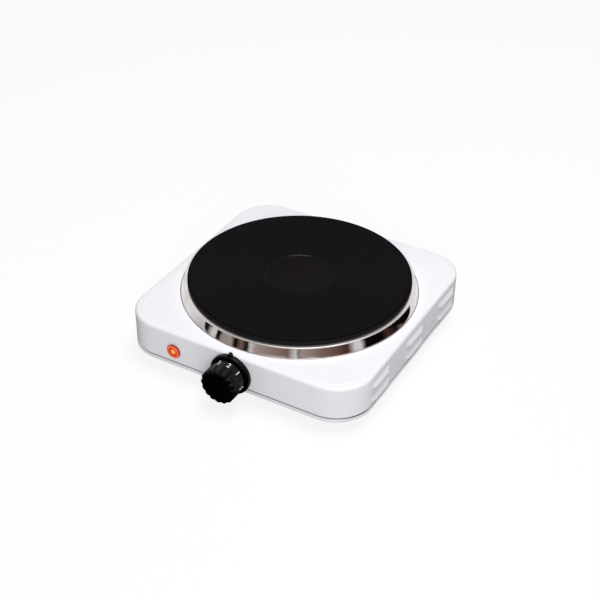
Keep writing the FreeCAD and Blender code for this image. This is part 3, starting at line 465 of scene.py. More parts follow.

# %% [markdown]
# The trim ring is stainless steel, spun and polished, so it mirrors the room. Polishing runs round the ring
# and leaves hair-fine lines that only show where a highlight breaks, and handling leaves faint smears that
# dull it unevenly. The wheel doesn't reach the rolled bead and the flange as well as the wall, so both are
# duller. The flange is also painted a little grey, as painted shade for the dark line where it meets the
# enamel.

# %% Polished and plain metals
ring_low, ring_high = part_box("trim_ring")
BEAD_HEIGHT, FLANGE_HEIGHT = 1.0 * MM, 0.5 * MM


def polished_steel():
    """Mirror-bright wall between a duller bead and a duller flange, painted greyer as shade along the enamel.
    """
    finish = Finish("polished_steel")
    height = finish.node("ShaderNodeSeparateXYZ", {}, {0: finish.place}).out("Z")
    bead = finish.steps(height, ring_high.z - BEAD_HEIGHT - 0.1 * MM, ring_high.z - BEAD_HEIGHT)
    flange = finish.steps(height, ring_low.z + FLANGE_HEIGHT, ring_low.z + FLANGE_HEIGHT + 0.1 * MM, 1.0, 0.0)
    smear = finish.noise(14 * MM, 3.0)
    lines = finish.noise(0.25 * MM, 2.0, stretch=(0.08, 0.08, 1.0))
    bright = finish.blend(finish.steps(smear, 0.3, 0.7), tone(228, 223, 220), tone(214, 208, 205))
    # Painted shade: the flange is greyed for the dark line where the ring meets the enamel.
    colour = finish.blend(flange, bright, tone(150, 140, 138))
    dull = bead * 0.25 + flange * 0.30
    roughness = finish.steps(smear * 0.7 + lines * 0.3, 0.3, 0.7, 0.03, 0.07) + dull
    normal = finish.bump(lines, 0.002 * MM, 0.25)
    return finish.done(colour, roughness, normal, Metallic=1.0)


def plain_metal(name, light, dark, shine):
    """Plated or raw metal for small hardware: blotchy colour and a fine scratchy bump."""
    finish = Finish(name)
    blotch = finish.noise(3 * MM, 4.0)
    scratch = finish.noise(0.4 * MM, 2.0, stretch=(1.0, 0.15, 1.0))
    colour = finish.blend(finish.steps(blotch, 0.3, 0.7), light, dark)
    roughness = finish.steps(blotch * 0.6 + scratch * 0.4, 0.3, 0.7, shine, shine + 0.18)
    return finish.done(colour, roughness, finish.bump(scratch, 0.01 * MM, 0.6), Metallic=1.0)


finishes["polished_steel"] = polished_steel()
finishes["zinc_steel"] = plain_metal("zinc_steel", tone(196, 198, 202), tone(170, 173, 178), 0.28)
finishes["brass"] = plain_metal("brass", tone(205, 172, 98), tone(178, 140, 70), 0.25)
print("metals")

# %% [markdown]
# The knob and its bezel are moulded in glossy black plastic, which shows soft highlights with a faint
# moulded texture. The same builder makes the other plain mouldings, with their own colour, gloss and grain:
# rubber feet, porcelain blocks, dark phenolic plastic and the sheaths of the leads inside.


# %% Plastics, rubber and porcelain
def moulding(name, light, dark, gloss, grain, depth, **constants):
    """A moulded piece: slow colour drift, and a grain of this size and depth."""
    finish = Finish(name)
    drift = finish.noise(18 * MM, 2.0)
    fine = finish.noise(grain, 2.0)
    colour = finish.blend(finish.steps(drift, 0.3, 0.7), light, dark)
    roughness = finish.steps(fine, 0.3, 0.7, gloss, gloss + 0.10)
    return finish.done(colour, roughness, finish.bump(fine, depth, 0.8), **constants)


finishes["black_plastic"] = moulding(
    "black_plastic", tone(5, 5, 7), tone(3, 3, 5), 0.06, 0.9 * MM, 0.003 * MM, Specular_IOR_Level=0.14)
for name, light, dark, gloss, grain, depth in [
        ("rubber", tone(38, 38, 40), tone(28, 28, 30), 0.72, 0.5, 0.05),
        ("porcelain", tone(232, 226, 212), tone(220, 212, 196), 0.35, 0.8, 0.02),
        ("dark_plastic", tone(58, 42, 34), tone(44, 32, 26), 0.42, 0.7, 0.02),
        ("lead_white", tone(222, 222, 218), tone(205, 205, 200), 0.48, 0.3, 0.03),
        ("lead_green", tone(70, 150, 62), tone(60, 132, 52), 0.45, 0.3, 0.03),
        ("dial_paint", tone(236, 236, 234), tone(222, 222, 220), 0.5, 0.3, 0.01)]:
    finishes[name] = moulding(name, light, dark, gloss, grain * MM, depth * MM)
print(len(finishes), "finishes so far")

# %% [markdown]
# The pilot lamp's lens is clear orange plastic lit from behind by a neon bulb. Its colour depends on how
# far a point is from the lens's own axis: a pale yellow eye, a deep red groove, an orange outer ring and a
# dark red rim, which is painted shade on the side of the lens's flange.


# %% Lamp lens and bulb glass
lens_low, lens_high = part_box("pilot_lens")
LENS = (lens_low + lens_high) / 2
COLOUR_REACH = 7.0 * MM


def lamp_orange():
    """Rings of colour about the lens's axis, faintly glowing, with a rim of painted shade."""
    finish = Finish("lamp_orange")
    apart = finish.node("ShaderNodeSeparateXYZ", {}, {0: finish.place})
    x, z = apart - LENS.x, apart.out("Z") - LENS.z
    radius = (x * x + z * z) ** 0.5
    mottle = finish.noise(1.1 * MM, 2.0) * 0.6 * MM - 0.3 * MM
    eye = [(0.00, tone(252, 220, 138)), (0.17, tone(253, 182, 104)), (0.30, tone(250, 140, 76))]
    groove = [(0.40, tone(216, 72, 20)), (0.53, tone(204, 56, 12))]
    outer = [(0.62, tone(250, 124, 84)), (0.76, tone(246, 112, 70))]
    # Painted shade: the darkest stops darken the side of the lens's flange.
    edge = [(0.83, tone(186, 52, 26)), (0.88, tone(104, 26, 22))]
    colour = finish.node("ShaderNodeValToRGB", {"stops": eye + groove + outer + edge}, {
        0: (radius + mottle) / COLOUR_REACH})
    roughness = finish.steps(finish.noise(0.8 * MM), 0.3, 0.7, 0.10, 0.18)
    return finish.done(
        colour, roughness, Emission_Color=colour, Emission_Strength=0.23, Transmission_Weight=0.15)


def lamp_glass():
    """Clear glass with a warm haze."""
    finish = Finish("lamp_glass")
    haze = finish.noise(2 * MM, 2.0)
    colour = finish.blend(finish.steps(haze, 0.3, 0.7), tone(252, 226, 200), tone(246, 208, 176))
    return finish.done(colour, finish.steps(haze, 0.3, 0.7, 0.04, 0.10), Transmission_Weight=0.85, IOR=1.5)


finishes["lamp_orange"] = lamp_orange()
finishes["lamp_glass"] = lamp_glass()
print("lamp finishes")

# %% [markdown]
# The record says which node has which finish. Pieces that stay as they were built only need their material
# set; the ones that show most are built again below.

# %% Finishes on the built nodes
for entry in frame["record"]["subparts"]:
    built = nodes[entry["node"]].data
    built.materials.clear()
    built.materials.append(finishes[entry["material_slot"]])

# %% [markdown]
# Most pieces of an appliance are turned, pressed or moulded, so their sections are straight runs joined by
# rounds. One helper rounds the corners of such a section, and one turns it about an axis. A modifier could
# do the turning, but a loop keeps every ring of points under control, and lets a shape vary with the angle,
# as on a ribbed knob. A third helper makes a straight bar, mostly to cut slots with.


# %% Rounded sections and turned pieces
def rounded(corners, steps=6):
    """Points of an outline whose inner corners, given as (across, along, radius), are rounded by arcs."""
    points = []
    for i, (across, along, radius) in enumerate(corners):
        corner = Vector((across, along)) * MM
        if radius == 0 or i in (0, len(corners) - 1):
            points.append(corner)
            continue
        back = (Vector(corners[i - 1][:2]) * MM - corner).normalized()
        ahead = (Vector(corners[i + 1][:2]) * MM - corner).normalized()
        half = back.angle(ahead) / 2
        centre = corner + (back + ahead).normalized() * (radius * MM / math.sin(half))
        start = corner + back * (radius * MM / math.tan(half)) - centre
        end = corner + ahead * (radius * MM / math.tan(half)) - centre
        first = math.atan2(start.y, start.x)
        turn = (math.atan2(end.y, end.x) - first + math.pi) % math.tau - math.pi
        for step in range(steps + 1):
            angle = first + turn * step / steps
            points.append(centre + Vector((math.cos(angle), math.sin(angle))) * radius * MM)
    return points


FACING = {"up": 0, "front": 90, "back": -90}


def turned(outline, centre, facing="up", segments=128, closed=False, shape=None):
    """Turn an outline of (radius, height) points about an axis through centre. Returns a bmesh."""
    made = bmesh.new()
    place = Matrix.Translation(centre) @ Matrix.Rotation(math.radians(FACING[facing]), 4, "X")
    rings = []
    for segment in range(segments):
        angle = math.tau * segment / segments
        ring = []
        for radius, height in outline:
            if shape:
                radius, height = shape(angle, radius, height)
            point = Vector((radius * math.cos(angle), radius * math.sin(angle), height))
            ring.append(made.verts.new(place @ point))
        rings.append(ring)
    spans = len(outline) if closed else len(outline) - 1
    for segment in range(segments):
        here, there = rings[segment], rings[(segment + 1) % segments]
        for i in range(spans):
            k = (i + 1) % len(outline)
            made.faces.new((here[i], there[i], there[k], here[k]))
    bmesh.ops.remove_doubles(made, verts=made.verts, dist=1e-7)
    bmesh.ops.recalc_face_normals(made, faces=made.faces)
    return made


def bar_between(near, far):
    """A closed bar between two like outlines of points. Returns a bmesh and the face at its far end."""
    made = bmesh.new()
    rows = [[made.verts.new(point) for point in end] for end in (near, far)]
    made.faces.new(rows[0])
    far_face = made.faces.new(rows[1][::-1])
    for i in range(len(near)):
        k = (i + 1) % len(near)
        made.faces.new((rows[0][k], rows[0][i], rows[1][i], rows[1][k]))
    bmesh.ops.recalc_face_normals(made, faces=made.faces)
    return made, far_face


def as_mesh(name, *parts, sharp=38):
    """Join bmesh parts into one smooth-shaded mesh whose steep edges stay crisp."""
    joined = bmesh.new()
    for part in parts:
        step = bpy.data.meshes.new("step")
        part.to_mesh(step)
        part.free()
        joined.from_mesh(step)
        bpy.data.meshes.remove(step)
    bmesh.ops.remove_doubles(joined, verts=joined.verts, dist=1e-7)
    mesh = bpy.data.meshes.new(name)
    joined.to_mesh(mesh)
    joined.free()
    mesh.shade_smooth()
    mesh.set_sharp_from_angle(angle=math.radians(sharp))
    return mesh


def add_piece(name, mesh, slot, body, *replaced):
    """Put a finished mesh in the scene: its finish, its body and the nodes that it stands for."""
    mesh.materials.clear()
    mesh.materials.append(finishes[slot])
    piece = bpy.data.objects.new(name, mesh)
    bpy.context.scene.collection.objects.link(piece)
    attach(piece, body)
    if replaced:
        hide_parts(*replaced)
    print(name, len(mesh.polygons), "faces")
    return piece


# %% [markdown]
# What repeats by a rule is grown by Geometry Nodes, so that its sizes are a handful of named inputs. A
# helper opens a tree with those inputs, and another runs it on a mesh and keeps the plain result.


# %% Running a geometry tree
SOCKETS = {float: "NodeSocketFloat", int: "NodeSocketInt", bpy.types.Object: "NodeSocketObject",
           bpy.types.Material: "NodeSocketMaterial"}


def shape_tree(name, values):
    """A geometry tree with one named input for each value. Returns the tree and its inputs."""
    group = bpy.data.node_groups.new(name, "GeometryNodeTree")
    group.interface.new_socket("Geometry", in_out="INPUT", socket_type="NodeSocketGeometry")
    group.interface.new_socket("Geometry", in_out="OUTPUT", socket_type="NodeSocketGeometry")
    for label, value in values.items():
        group.interface.new_socket(label, in_out="INPUT", socket_type=SOCKETS[type(value)])
    tree = Tree(group)
    return tree, tree.node("NodeGroupInput")


def close_tree(tree, geometry, given):
    """End a tree with real geometry and its finish."""
    real = tree.node("GeometryNodeRealizeInstances", {}, {0: geometry})
    finished = tree.node("GeometryNodeSetMaterial", {}, {"Geometry": real, "Material": given.out("Material")})
    tree.node("NodeGroupOutput", {}, {0: finished})


def grown(tree, values, mesh):
    """Run a geometry tree on a mesh and return the result as a plain mesh."""
    holder = bpy.data.objects.new("holder", mesh)
    bpy.context.scene.collection.objects.link(holder)
    modifier = holder.modifiers.new("tree", "NODES")
    modifier.node_group = tree.tree
    for item in tree.tree.interface.items_tree:
        if item.in_out == "INPUT" and item.name in values:
            modifier[item.identifier] = values[item.name]
    graph = bpy.context.evaluated_depsgraph_get()
    result = bpy.data.meshes.new_from_object(holder.evaluated_get(graph), depsgraph=graph)
    holder.modifiers.remove(modifier)
    bpy.data.objects.remove(holder)
    return result


print("tree helpers ready")

# %% [markdown]
# The cooking face is turned into dozens of fine concentric grooves, with a smooth sunken disc in the
# middle. It could be one long turned outline, but the grooves follow a rule: a wave along the radius. So a
# flat grid is bent into a ring by nodes, each row pushed down by the wave, and the rim, side and underside
# are turned and joined to it.

# %% Cast-iron plate
plate_radius = (plate_high.x - plate_low.x) / 2
PLATE_TOP = plate_high.z / MM
PLATE_FOOT, PLATE_ROOF, STUD_ROOF = PLATE_TOP - 18, PLATE_TOP - 6, PLATE_TOP - 8
RIM, RIM_HEIGHT = plate_radius / MM, 3.8
SKIRT_OUT, SKIRT_IN, BOSS, STUD_HOLE = 87, 83, 20, 4.05
RECESS_DEPTH, FACE_SEGMENTS = 0.8, 193


def groove_tree(values):
    """A ring-shaped face whose height follows a wave along the radius."""
    tree, given = shape_tree("grooved_face", values)
    rows = given.out("Grooves") * 6 + 1
    grid = tree.node("GeometryNodeMeshGrid", {}, {
        "Size X": 1.0, "Size Y": 1.0, "Vertices X": rows, "Vertices Y": given.out("Segments")})
    where = tree.node("ShaderNodeSeparateXYZ", {}, {0: tree.node("GeometryNodeInputPosition")})
    share, angle = where + 0.5, (where.out("Y") + 0.5) * math.tau
    radius = given.out("Inner Radius") + (given.out("Outer Radius") - given.out("Inner Radius")) * share
    wave = 0.5 - 0.5 * where.math("COSINE", share * given.out("Grooves") * math.tau)
    bent = tree.node("ShaderNodeCombineXYZ", {}, {
        "X": radius * where.math("COSINE", angle) + AXIS.x,
        "Y": radius * where.math("SINE", angle) + AXIS.y,
        "Z": given.out("Top") - given.out("Depth") * wave})
    ring = tree.node("GeometryNodeSetPosition", {}, {"Geometry": grid, "Position": bent})
    whole = tree.node("GeometryNodeMergeByDistance", {}, {"Geometry": ring, "Distance": 1e-6})
    close_tree(tree, whole, given)
    return tree


def make_plate():
    """The recess in the middle, the grooved face round it, and the rim, skirt and underside."""
    values = {
        "Inner Radius": GROOVES_FROM * MM, "Outer Radius": GROOVES_TO * MM, "Grooves": GROOVE_COUNT,
        "Segments": FACE_SEGMENTS, "Top": plate_high.z, "Depth": GROOVE_DEPTH * MM,
        "Material": finishes["cast_iron"]}
    face = grown(groove_tree(values), values, bpy.data.meshes.new("empty"))
    grooves = bmesh.new()
    grooves.from_mesh(face)
    centre = Vector((AXIS.x, AXIS.y, 0))
    recess = PLATE_TOP - RECESS_DEPTH
    middle = turned(rounded([
        (0, recess - 0.35, 0), (0.7, recess - 0.1, 0.2), (1.0, recess, 0.2),
        (RECESS_EDGE - 0.3, recess, 0.25), (RECESS_EDGE + 0.3, PLATE_TOP, 0.2), (GROOVES_FROM, PLATE_TOP, 0),
    ], 3), centre, segments=192)
    rim = turned(rounded([
        (GROOVES_TO, PLATE_TOP, 0), (90.6, PLATE_TOP, 0.1), (90.8, PLATE_TOP - 0.3, 0.1),
        (91.2, PLATE_TOP - 0.3, 0.1), (91.4, PLATE_TOP - 0.05, 0.1), (RIM - 0.2, PLATE_TOP - 0.1, 0.5),
        (RIM, PLATE_TOP - RIM_HEIGHT, 0.6), (SKIRT_OUT, PLATE_TOP - RIM_HEIGHT, 0.3),
        (SKIRT_OUT, PLATE_FOOT, 0.4), (SKIRT_IN, PLATE_FOOT, 0.4), (SKIRT_IN, PLATE_ROOF, 1),
        (BOSS, PLATE_ROOF, 1), (BOSS, PLATE_FOOT, 0.4), (STUD_HOLE, PLATE_FOOT, 0.2),
        (STUD_HOLE, STUD_ROOF, 0), (0, STUD_ROOF, 0),
    ], 3), centre, segments=192)
    return as_mesh("cast_iron_plate_turned", middle, grooves, rim, sharp=60)


add_piece("plate_turned", make_plate(), "cast_iron", "housing", "cast_iron_plate")

# %% [markdown]
# The trim ring is spun from thin sheet: a rolled bead under the plate's rim, a wall that flares as it goes
# down, and a narrow flange that sits on the enamel. Its bead catches the light as one thin bright line all
# the way round.

# %% Trim ring
RING_TOP, RING_FOOT = ring_high.z / MM, ring_low.z / MM
RING_REACH = (ring_high.x - ring_low.x) / 2 / MM
RING_INNER, BEAD_REACH, WALL_INSIDE, RING_GAUGE = 88.2, 95.4, 94.6, 0.6


def make_ring():
    """The ring's section, turned: ledge, bead, wall and flange outside, then back up inside."""
    outline = rounded([
        (RING_INNER, RING_TOP, 0), (BEAD_REACH, RING_TOP, 0.4), (BEAD_REACH, RING_TOP - 0.9, 0.3),
        (95.25, RING_TOP - 1.05, 0.15), (RING_REACH - 0.6, RING_FOOT + 0.45, 0.2),
        (RING_REACH, RING_FOOT + 0.35, 0.1), (RING_REACH, RING_FOOT, 0.1), (RING_REACH - 1.2, RING_FOOT, 0.3),
        (WALL_INSIDE, RING_TOP - 1.3, 0.3), (WALL_INSIDE, RING_TOP - RING_GAUGE, 0.2),
        (RING_INNER, RING_TOP - RING_GAUGE, 0),
    ], 5)
    return as_mesh("trim_ring_spun", turned(outline, Vector((AXIS.x, AXIS.y, 0)), segments=256, closed=True))


add_piece("ring_spun", make_ring(), "polished_steel", "housing", "trim_ring")

# %% [markdown]
# The case top is pressed from one sheet: flat walls, generous corners, a rounded upper edge and a faint
# raised panel. A bevelled box would give even rounds but no panel line. Instead the sheet's section is
# swept round the rounded square, loop by loop, and the last loops run down into the round opening under the
# plate.

# %% Swept case outline
HALF_WIDTH, HALF_DEPTH = (base_high.x - base_low.x) / 2, (base_high.y - base_low.y) / 2
CORNER_RADIUS = 31.5 * MM
CORNER_STEPS, SIDE_STEPS = 20, 6


def case_loop(inset, z):
    """Points once round the case's outline, drawn in by an inset."""
    radius = CORNER_RADIUS - inset
    wide, deep = HALF_WIDTH - CORNER_RADIUS, HALF_DEPTH - CORNER_RADIUS
    loop = []
    corners = [(wide, -deep, -90), (wide, deep, 0), (-wide, deep, 90), (-wide, -deep, 180)]
    for (x, y, start), (next_x, next_y, _) in zip(corners, corners[1:] + corners[:1]):
        for step in range(CORNER_STEPS + 1):
            angle = math.radians(start + 90 * step / CORNER_STEPS)
            loop.append(Vector((x + radius * math.cos(angle), y + radius * math.sin(angle), 0)))
        first, angle = loop[-1], math.radians(start + 90)
        last = Vector((next_x + radius * math.cos(angle), next_y + radius * math.sin(angle), 0))
        loop += [first.lerp(last, step / SIDE_STEPS) for step in range(1, SIDE_STEPS)]
    return [Vector((point.x + AXIS.x, point.y + AXIS.y, z)) for point in loop]


def round_loop(radius, z):
    """A circle about the plate's axis with one point for each point of the case's outline."""
    middle = Vector((AXIS.x, AXIS.y, z))
    loop = []
    for point in case_loop(0, z):
        loop.append(middle + (point - middle).normalized() * radius)
    return loop


def skinned(loops, closed):
    """Join loops of points by faces. Returns a bmesh."""
    made = bmesh.new()
    rows = [[made.verts.new(point) for point in loop] for loop in loops]
    pairs = list(zip(rows, rows[1:] + rows[:1])) if closed else list(zip(rows, rows[1:]))
    for row, beyond in pairs:
        for i in range(len(row)):
            k = (i + 1) % len(row)
            made.faces.new((row[i], row[k], beyond[k], beyond[i]))
    return made, rows


print("case outline of", len(case_loop(0, 0)), "points")

# %% [markdown]
# Air leaves the case through louvres pressed into both side walls: the sheet is slit and pushed outwards
# above the slit, so each one is a little hood that is open below. A slot is cut for each through the wall,
# and a hood with the sheet's thickness is set over it. One tree puts both at the twelve places.

# %% Upper shell with louvres
SHEET, EDGE_ROUND, PANEL_RISE = 0.8, 3.0, 0.4
SHELL_FOOT, PANEL = shell_low.z / MM, shell_high.z / MM
CASE_TOP = PANEL - PANEL_RISE
OPENING = 88.5 * MM
LOUVRE_LENGTH, LOUVRE_HEIGHT, LOUVRE_TAPER, LOUVRE_PITCH = 30.0, 4.3, 4.0, 60.7
LOUVRE_REACH = (shell_high.x - HALF_WIDTH) / MM
LOUVRE_EDGES = (CASE_TOP - 11.8, CASE_TOP - 24.4)
SLIT_LENGTH, SLIT_HEIGHT, SLIT_MIDDLE = LOUVRE_LENGTH - 4, 2.4, 1.25


def shell_sheet():
    """The pressed sheet: outside from foot to panel, the opening's edge, then back down the inside."""
    outside = rounded([
        (0.25, SHELL_FOOT, 0), (0, SHELL_FOOT + 0.3, 0.2), (0, CASE_TOP, EDGE_ROUND), (4.9, CASE_TOP, 0.3),
        (5.7, PANEL, 0.5), (8, PANEL, 0)], 8)
    inside = rounded([
        (8, PANEL - SHEET, 0), (6.2, PANEL - SHEET, 0.3), (5.4, CASE_TOP - SHEET, 0.3),
        (SHEET, CASE_TOP - SHEET, EDGE_ROUND - SHEET), (SHEET, SHELL_FOOT, 0)], 8)
    loops = [case_loop(inset, z) for inset, z in outside]
    loops += [round_loop(OPENING, PANEL * MM), round_loop(OPENING, (PANEL - SHEET) * MM)]
    loops += [case_loop(inset, z) for inset, z in inside]
    made, _ = skinned(loops, closed=True)
    bmesh.ops.recalc_face_normals(made, faces=made.faces)
    return made


def hood():
    """One louvre about its slit: x along the wall, y outwards, z up."""
    made = bmesh.new()
    columns, rows = 44, 10
    sheets = []
    for inside in (0, 1):
        grid = []
        for j in range(rows + 1):
            height = LOUVRE_HEIGHT * j / rows
            row = []
            for i in range(columns + 1):
                along = LOUVRE_LENGTH * (i / columns - 0.5)
                face = 1 - height / LOUVRE_HEIGHT
                end = (LOUVRE_LENGTH / 2 - abs(along)) / LOUVRE_TAPER
                out = LOUVRE_REACH * min(face, end) - 0.02 - 0.6 * SHEET * inside
                row.append(made.verts.new(Vector((along, out, height)) * MM))
            grid.append(row)
        sheets.append(grid)
        for j in range(rows):
            for i in range(columns):
                made.faces.new((grid[j][i], grid[j][i + 1], grid[j + 1][i + 1], grid[j + 1][i]))
    outer, inner = sheets
    edge = [(0, i) for i in range(columns + 1)] + [(j, columns) for j in range(1, rows + 1)]
    edge += [(rows, i) for i in range(columns - 1, -1, -1)] + [(j, 0) for j in range(rows - 1, 0, -1)]
    for (j, i), (k, m) in zip(edge, edge[1:] + edge[:1]):
        made.faces.new((outer[j][i], outer[k][m], inner[k][m], inner[j][i]))
    bmesh.ops.recalc_face_normals(made, faces=made.faces)
    return made


def slot_cutter(length, width, depth, round_steps=6):
    """A bar with round ends, which cuts a slot: x along it, y through the sheet, z across it."""
    ends = []
    for side, start in ((1, -90), (-1, 90)):
        for step in range(round_steps + 1):
            angle = math.radians(start + 180 * step / round_steps)
            x = side * (length - width) / 2 + width / 2 * math.cos(angle)
            ends.append((x, width / 2 * math.sin(angle)))
    near, far = [[Vector((x, y, z)) * MM for x, z in ends] for y in (-depth / 2, depth / 2)]
    return bar_between(near, far)[0]


def helper_object(name, part):
    """An object that lasts only while a tree copies from it."""
    mesh = as_mesh(name, part)
    thing = bpy.data.objects.new(name, mesh)
    bpy.context.scene.collection.objects.link(thing)
    return thing


def places_mesh(places):
    """Points with a turn about the upright axis, for a tree to put things at."""
    mesh = bpy.data.meshes.new("places")
    mesh.from_pydata([place for place, _ in places], [], [])
    turns = mesh.attributes.new("turn", "FLOAT", "POINT")
    turns.data.foreach_set("value", [turn for _, turn in places])
    return mesh


def pierce_tree(values):
    """Cut a shape out of a wall, or out of a body at every point, and set a cover over each cut."""
    tree, given = shape_tree("pierced_wall", values)
    turn = tree.node("GeometryNodeInputNamedAttribute", {"data_type": "FLOAT"}, {"Name": "turn"})
    spin = tree.node("ShaderNodeCombineXYZ", {}, {"Z": turn})
    points = tree.node("GeometryNodeMeshToPoints", {}, {"Mesh": given.out("Geometry")})

    def copies(label):
        source = tree.node("GeometryNodeObjectInfo", {}, {"Object": given.out(label)}, output="Geometry")
        placed = tree.node("GeometryNodeInstanceOnPoints", {}, {
            "Points": points, "Instance": source, "Rotation": spin})
        return tree.node("GeometryNodeRealizeInstances", {}, {0: placed})

    if "Body" in values:
        wall = copies("Body")
    else:
        wall = tree.node("GeometryNodeObjectInfo", {}, {"Object": given.out("Wall")}, output="Geometry")
    cut = tree.node("GeometryNodeMeshBoolean", {"operation": "DIFFERENCE", "solver": "EXACT"}, {
        "Mesh 1": wall, "Mesh 2": copies("Cutter")})
    both = tree.node("GeometryNodeJoinGeometry", {}, {0: cut})
    if "Cover" in values:
        tree.tree.links.new(copies("Cover").socket, both.socket.node.inputs[0])
    close_tree(tree, both, given)
    return tree


def pierced(name, places, slot, **parts):
    """Run the tree above on its named parts and tidy up after it."""
    values = {label: helper_object(label, part) for label, part in parts.items()}
    helpers = list(values.values())
    values["Material"] = finishes[slot]
    result = grown(pierce_tree(values), values, places_mesh(places))
    for helper in helpers:
        bpy.data.objects.remove(helper)
    result.name = name
    result.shade_smooth()
    result.set_sharp_from_angle(angle=math.radians(30))
    return result


def louvre_places():
    """Middle of each slit's lower edge on the right and the left wall."""
    places = []
    for side, turn in ((1, -90), (-1, 90)):
        for edge in LOUVRE_EDGES:
            for step in (-1, 0, 1):
                place = (AXIS.x + side * HALF_WIDTH, AXIS.y + step * LOUVRE_PITCH * MM, edge * MM)
                places.append((place, math.radians(turn)))
    return places


def make_shell():
    """The pressed sheet with a slit and a hood at each louvre's place."""
    cutter = slot_cutter(SLIT_LENGTH, SLIT_HEIGHT, 3 * SHEET)
    bmesh.ops.translate(cutter, verts=cutter.verts, vec=(0, 0, SLIT_MIDDLE * MM))
    places = louvre_places()
    return pierced("upper_shell_pressed", places, "enamel", Wall=shell_sheet(), Cutter=cutter, Cover=hood())


add_piece("shell_pressed", make_shell(), "enamel", "housing", "upper_shell")

# %% [markdown]
# The base is a shallow pan with a rounded lower edge. Its rim carries the case with a narrow shadow gap,
# and a collar inside locates it. Two rows of slots in the floor let cool air in; the same tree cuts them.

# %% Base pan
PAN_FOOT, PAN_TOP = base_low.z / MM, base_high.z / MM
PAN_RIM = PAN_FOOT + 3.4
VENT_LENGTH, VENT_WIDTH, VENT_PITCH = 40.0, 4.0, 11.0
VENT_ROWS, VENT_STEPS = (-62.0, 22.0), range(-3, 4)


def pan_sheet():
    """The pan's outside from the floor up to the collar, then the inside back down."""
    section = rounded([
        (12, PAN_FOOT, 0), (0, PAN_FOOT, 1.5), (0, PAN_FOOT + 1.9, 0.3), (0.9, PAN_RIM, 0.15),
        (1.6, PAN_RIM, 0.1), (1.6, PAN_TOP, 0.3), (2.4, PAN_TOP, 0.3), (2.4, PAN_RIM - SHEET, 0.2),
        (SHEET, PAN_FOOT + 1.7, 0.3), (SHEET, PAN_FOOT + SHEET, 0.8), (12, PAN_FOOT + SHEET, 0)], 5)
    made, rows = skinned([case_loop(inset, z) for inset, z in section], closed=False)
    made.faces.new(rows[0])
    made.faces.new(rows[-1])
    bmesh.ops.recalc_face_normals(made, faces=made.faces)
    return made


def make_pan():
    """The pan with its rows of slots cut through the floor."""
    cutter = slot_cutter(VENT_LENGTH, VENT_WIDTH, 3 * SHEET)
    bmesh.ops.rotate(cutter, verts=cutter.verts, matrix=Matrix.Rotation(math.radians(90), 3, "X"))
    places = []
    for row in VENT_ROWS:
        for step in VENT_STEPS:
            place = (AXIS.x + step * VENT_PITCH * MM, AXIS.y + row * MM, (PAN_FOOT + SHEET / 2) * MM)
            places.append((place, math.radians(90)))
    return pierced("base_pan_pressed", places, "base_paint", Wall=pan_sheet(), Cutter=cutter)


add_piece("pan_pressed", make_pan(), "base_paint", "housing", "base_pan")

# %% [markdown]
# The knob has a smooth band with the dial's numbers and a grip with sixteen rounded ribs. A turned outline
# gives the band, and the ribs come from letting the grip's radius swell and sink sixteen times on the way
# round.

# %% Knob and bezel
knob_low, knob_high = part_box("knob")
bezel_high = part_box("knob_bezel")[1]
WALL_FRONT = bezel_high.y
KNOB = Vector(((knob_low.x + knob_high.x) / 2, WALL_FRONT, (knob_low.z + knob_high.z) / 2))
KNOB_REACH = (WALL_FRONT - knob_low.y) / MM
GRIP, VALLEY, RIBS, RIB_RUN = 15.4, 13.9, 16, 1.4
WAIST, RIBS_OUTSIDE = 10.8, 12.7
BAND_BACK, BAND_WIDE, BAND_NARROW = 4.6, 14.9, 14.2
SHAFT_HOLE, HUB, HOLLOW, HOLLOW_ROOF = 3.05, 5.5, 12.4, 18.5


def ribbed(angle, radius, height):
    """Draw the grip in between its ribs, more and more from the waist to where the ribs are full."""
    if radius < RIBS_OUTSIDE * MM or height < WAIST * MM:
        return radius, height
    share = min(1.0, (height / MM - WAIST) / RIB_RUN)
    swell = abs(math.cos(RIBS / 2 * angle)) ** 0.7
    return radius - (GRIP - VALLEY) * MM * share * (1 - swell), height


def make_knob():
    """From the shaft's hole out over the hub, the hollow back, the band and the grip to the face."""
    outline = rounded([
        (0, 17.5, 0), (SHAFT_HOLE, 17.5, 0), (SHAFT_HOLE, 7, 0), (HUB, 7, 0.3), (HUB, HOLLOW_ROOF, 0.4),
        (HOLLOW, HOLLOW_ROOF, 0.5), (HOLLOW, BAND_BACK, 0.3), (BAND_WIDE, BAND_BACK, 0.4),
        (BAND_NARROW, WAIST, 0.3), (GRIP, WAIST + 1.1, 0.6), (GRIP, KNOB_REACH - 1.6, 1.2),
        (13.8, KNOB_REACH - 0.15, 0.8), (12.0, KNOB_REACH, 1.0), (0, KNOB_REACH, 0)], 4)
    return as_mesh("knob_moulded", turned(outline, KNOB, "front", RIBS * 14, shape=ribbed), sharp=50)


def pointer():
    """The small mark at the top of the bezel that the numbers are read against."""
    width, foot, tip, depth = 3.3, 16.0, (bezel_high.z - KNOB.z) / MM, 3.3
    half = width / 2
    outline = [(-half, foot), (half, foot)]
    for degrees in range(0, 181, 15):
        angle = math.radians(degrees)
        outline.append((half * math.cos(angle), tip - half + half * math.sin(angle)))
    near, far = [[KNOB + Vector((x, -y, z)) * MM for x, z in outline] for y in (0, depth)]
    made, front = bar_between(near, far)
    bmesh.ops.bevel(made, geom=list(front.edges), offset=0.6 * MM, segments=3, affect="EDGES", profile=0.5)
    return made


def make_bezel():
    """A flat dish with the pointer on its rim."""
    outline = rounded([
        (5.3, 0, 0), (17.6, 0, 0.2), (17.6, 4, 1.4), (15.4, 4, 0.3), (15.2, 3.5, 0.2), (9.2, 3.5, 0.2),
        (9, 2, 0.2), (5.3, 2, 0)], 5)
    disc = turned(outline, KNOB, "front", closed=True)
    return as_mesh("knob_bezel_moulded", disc, pointer())


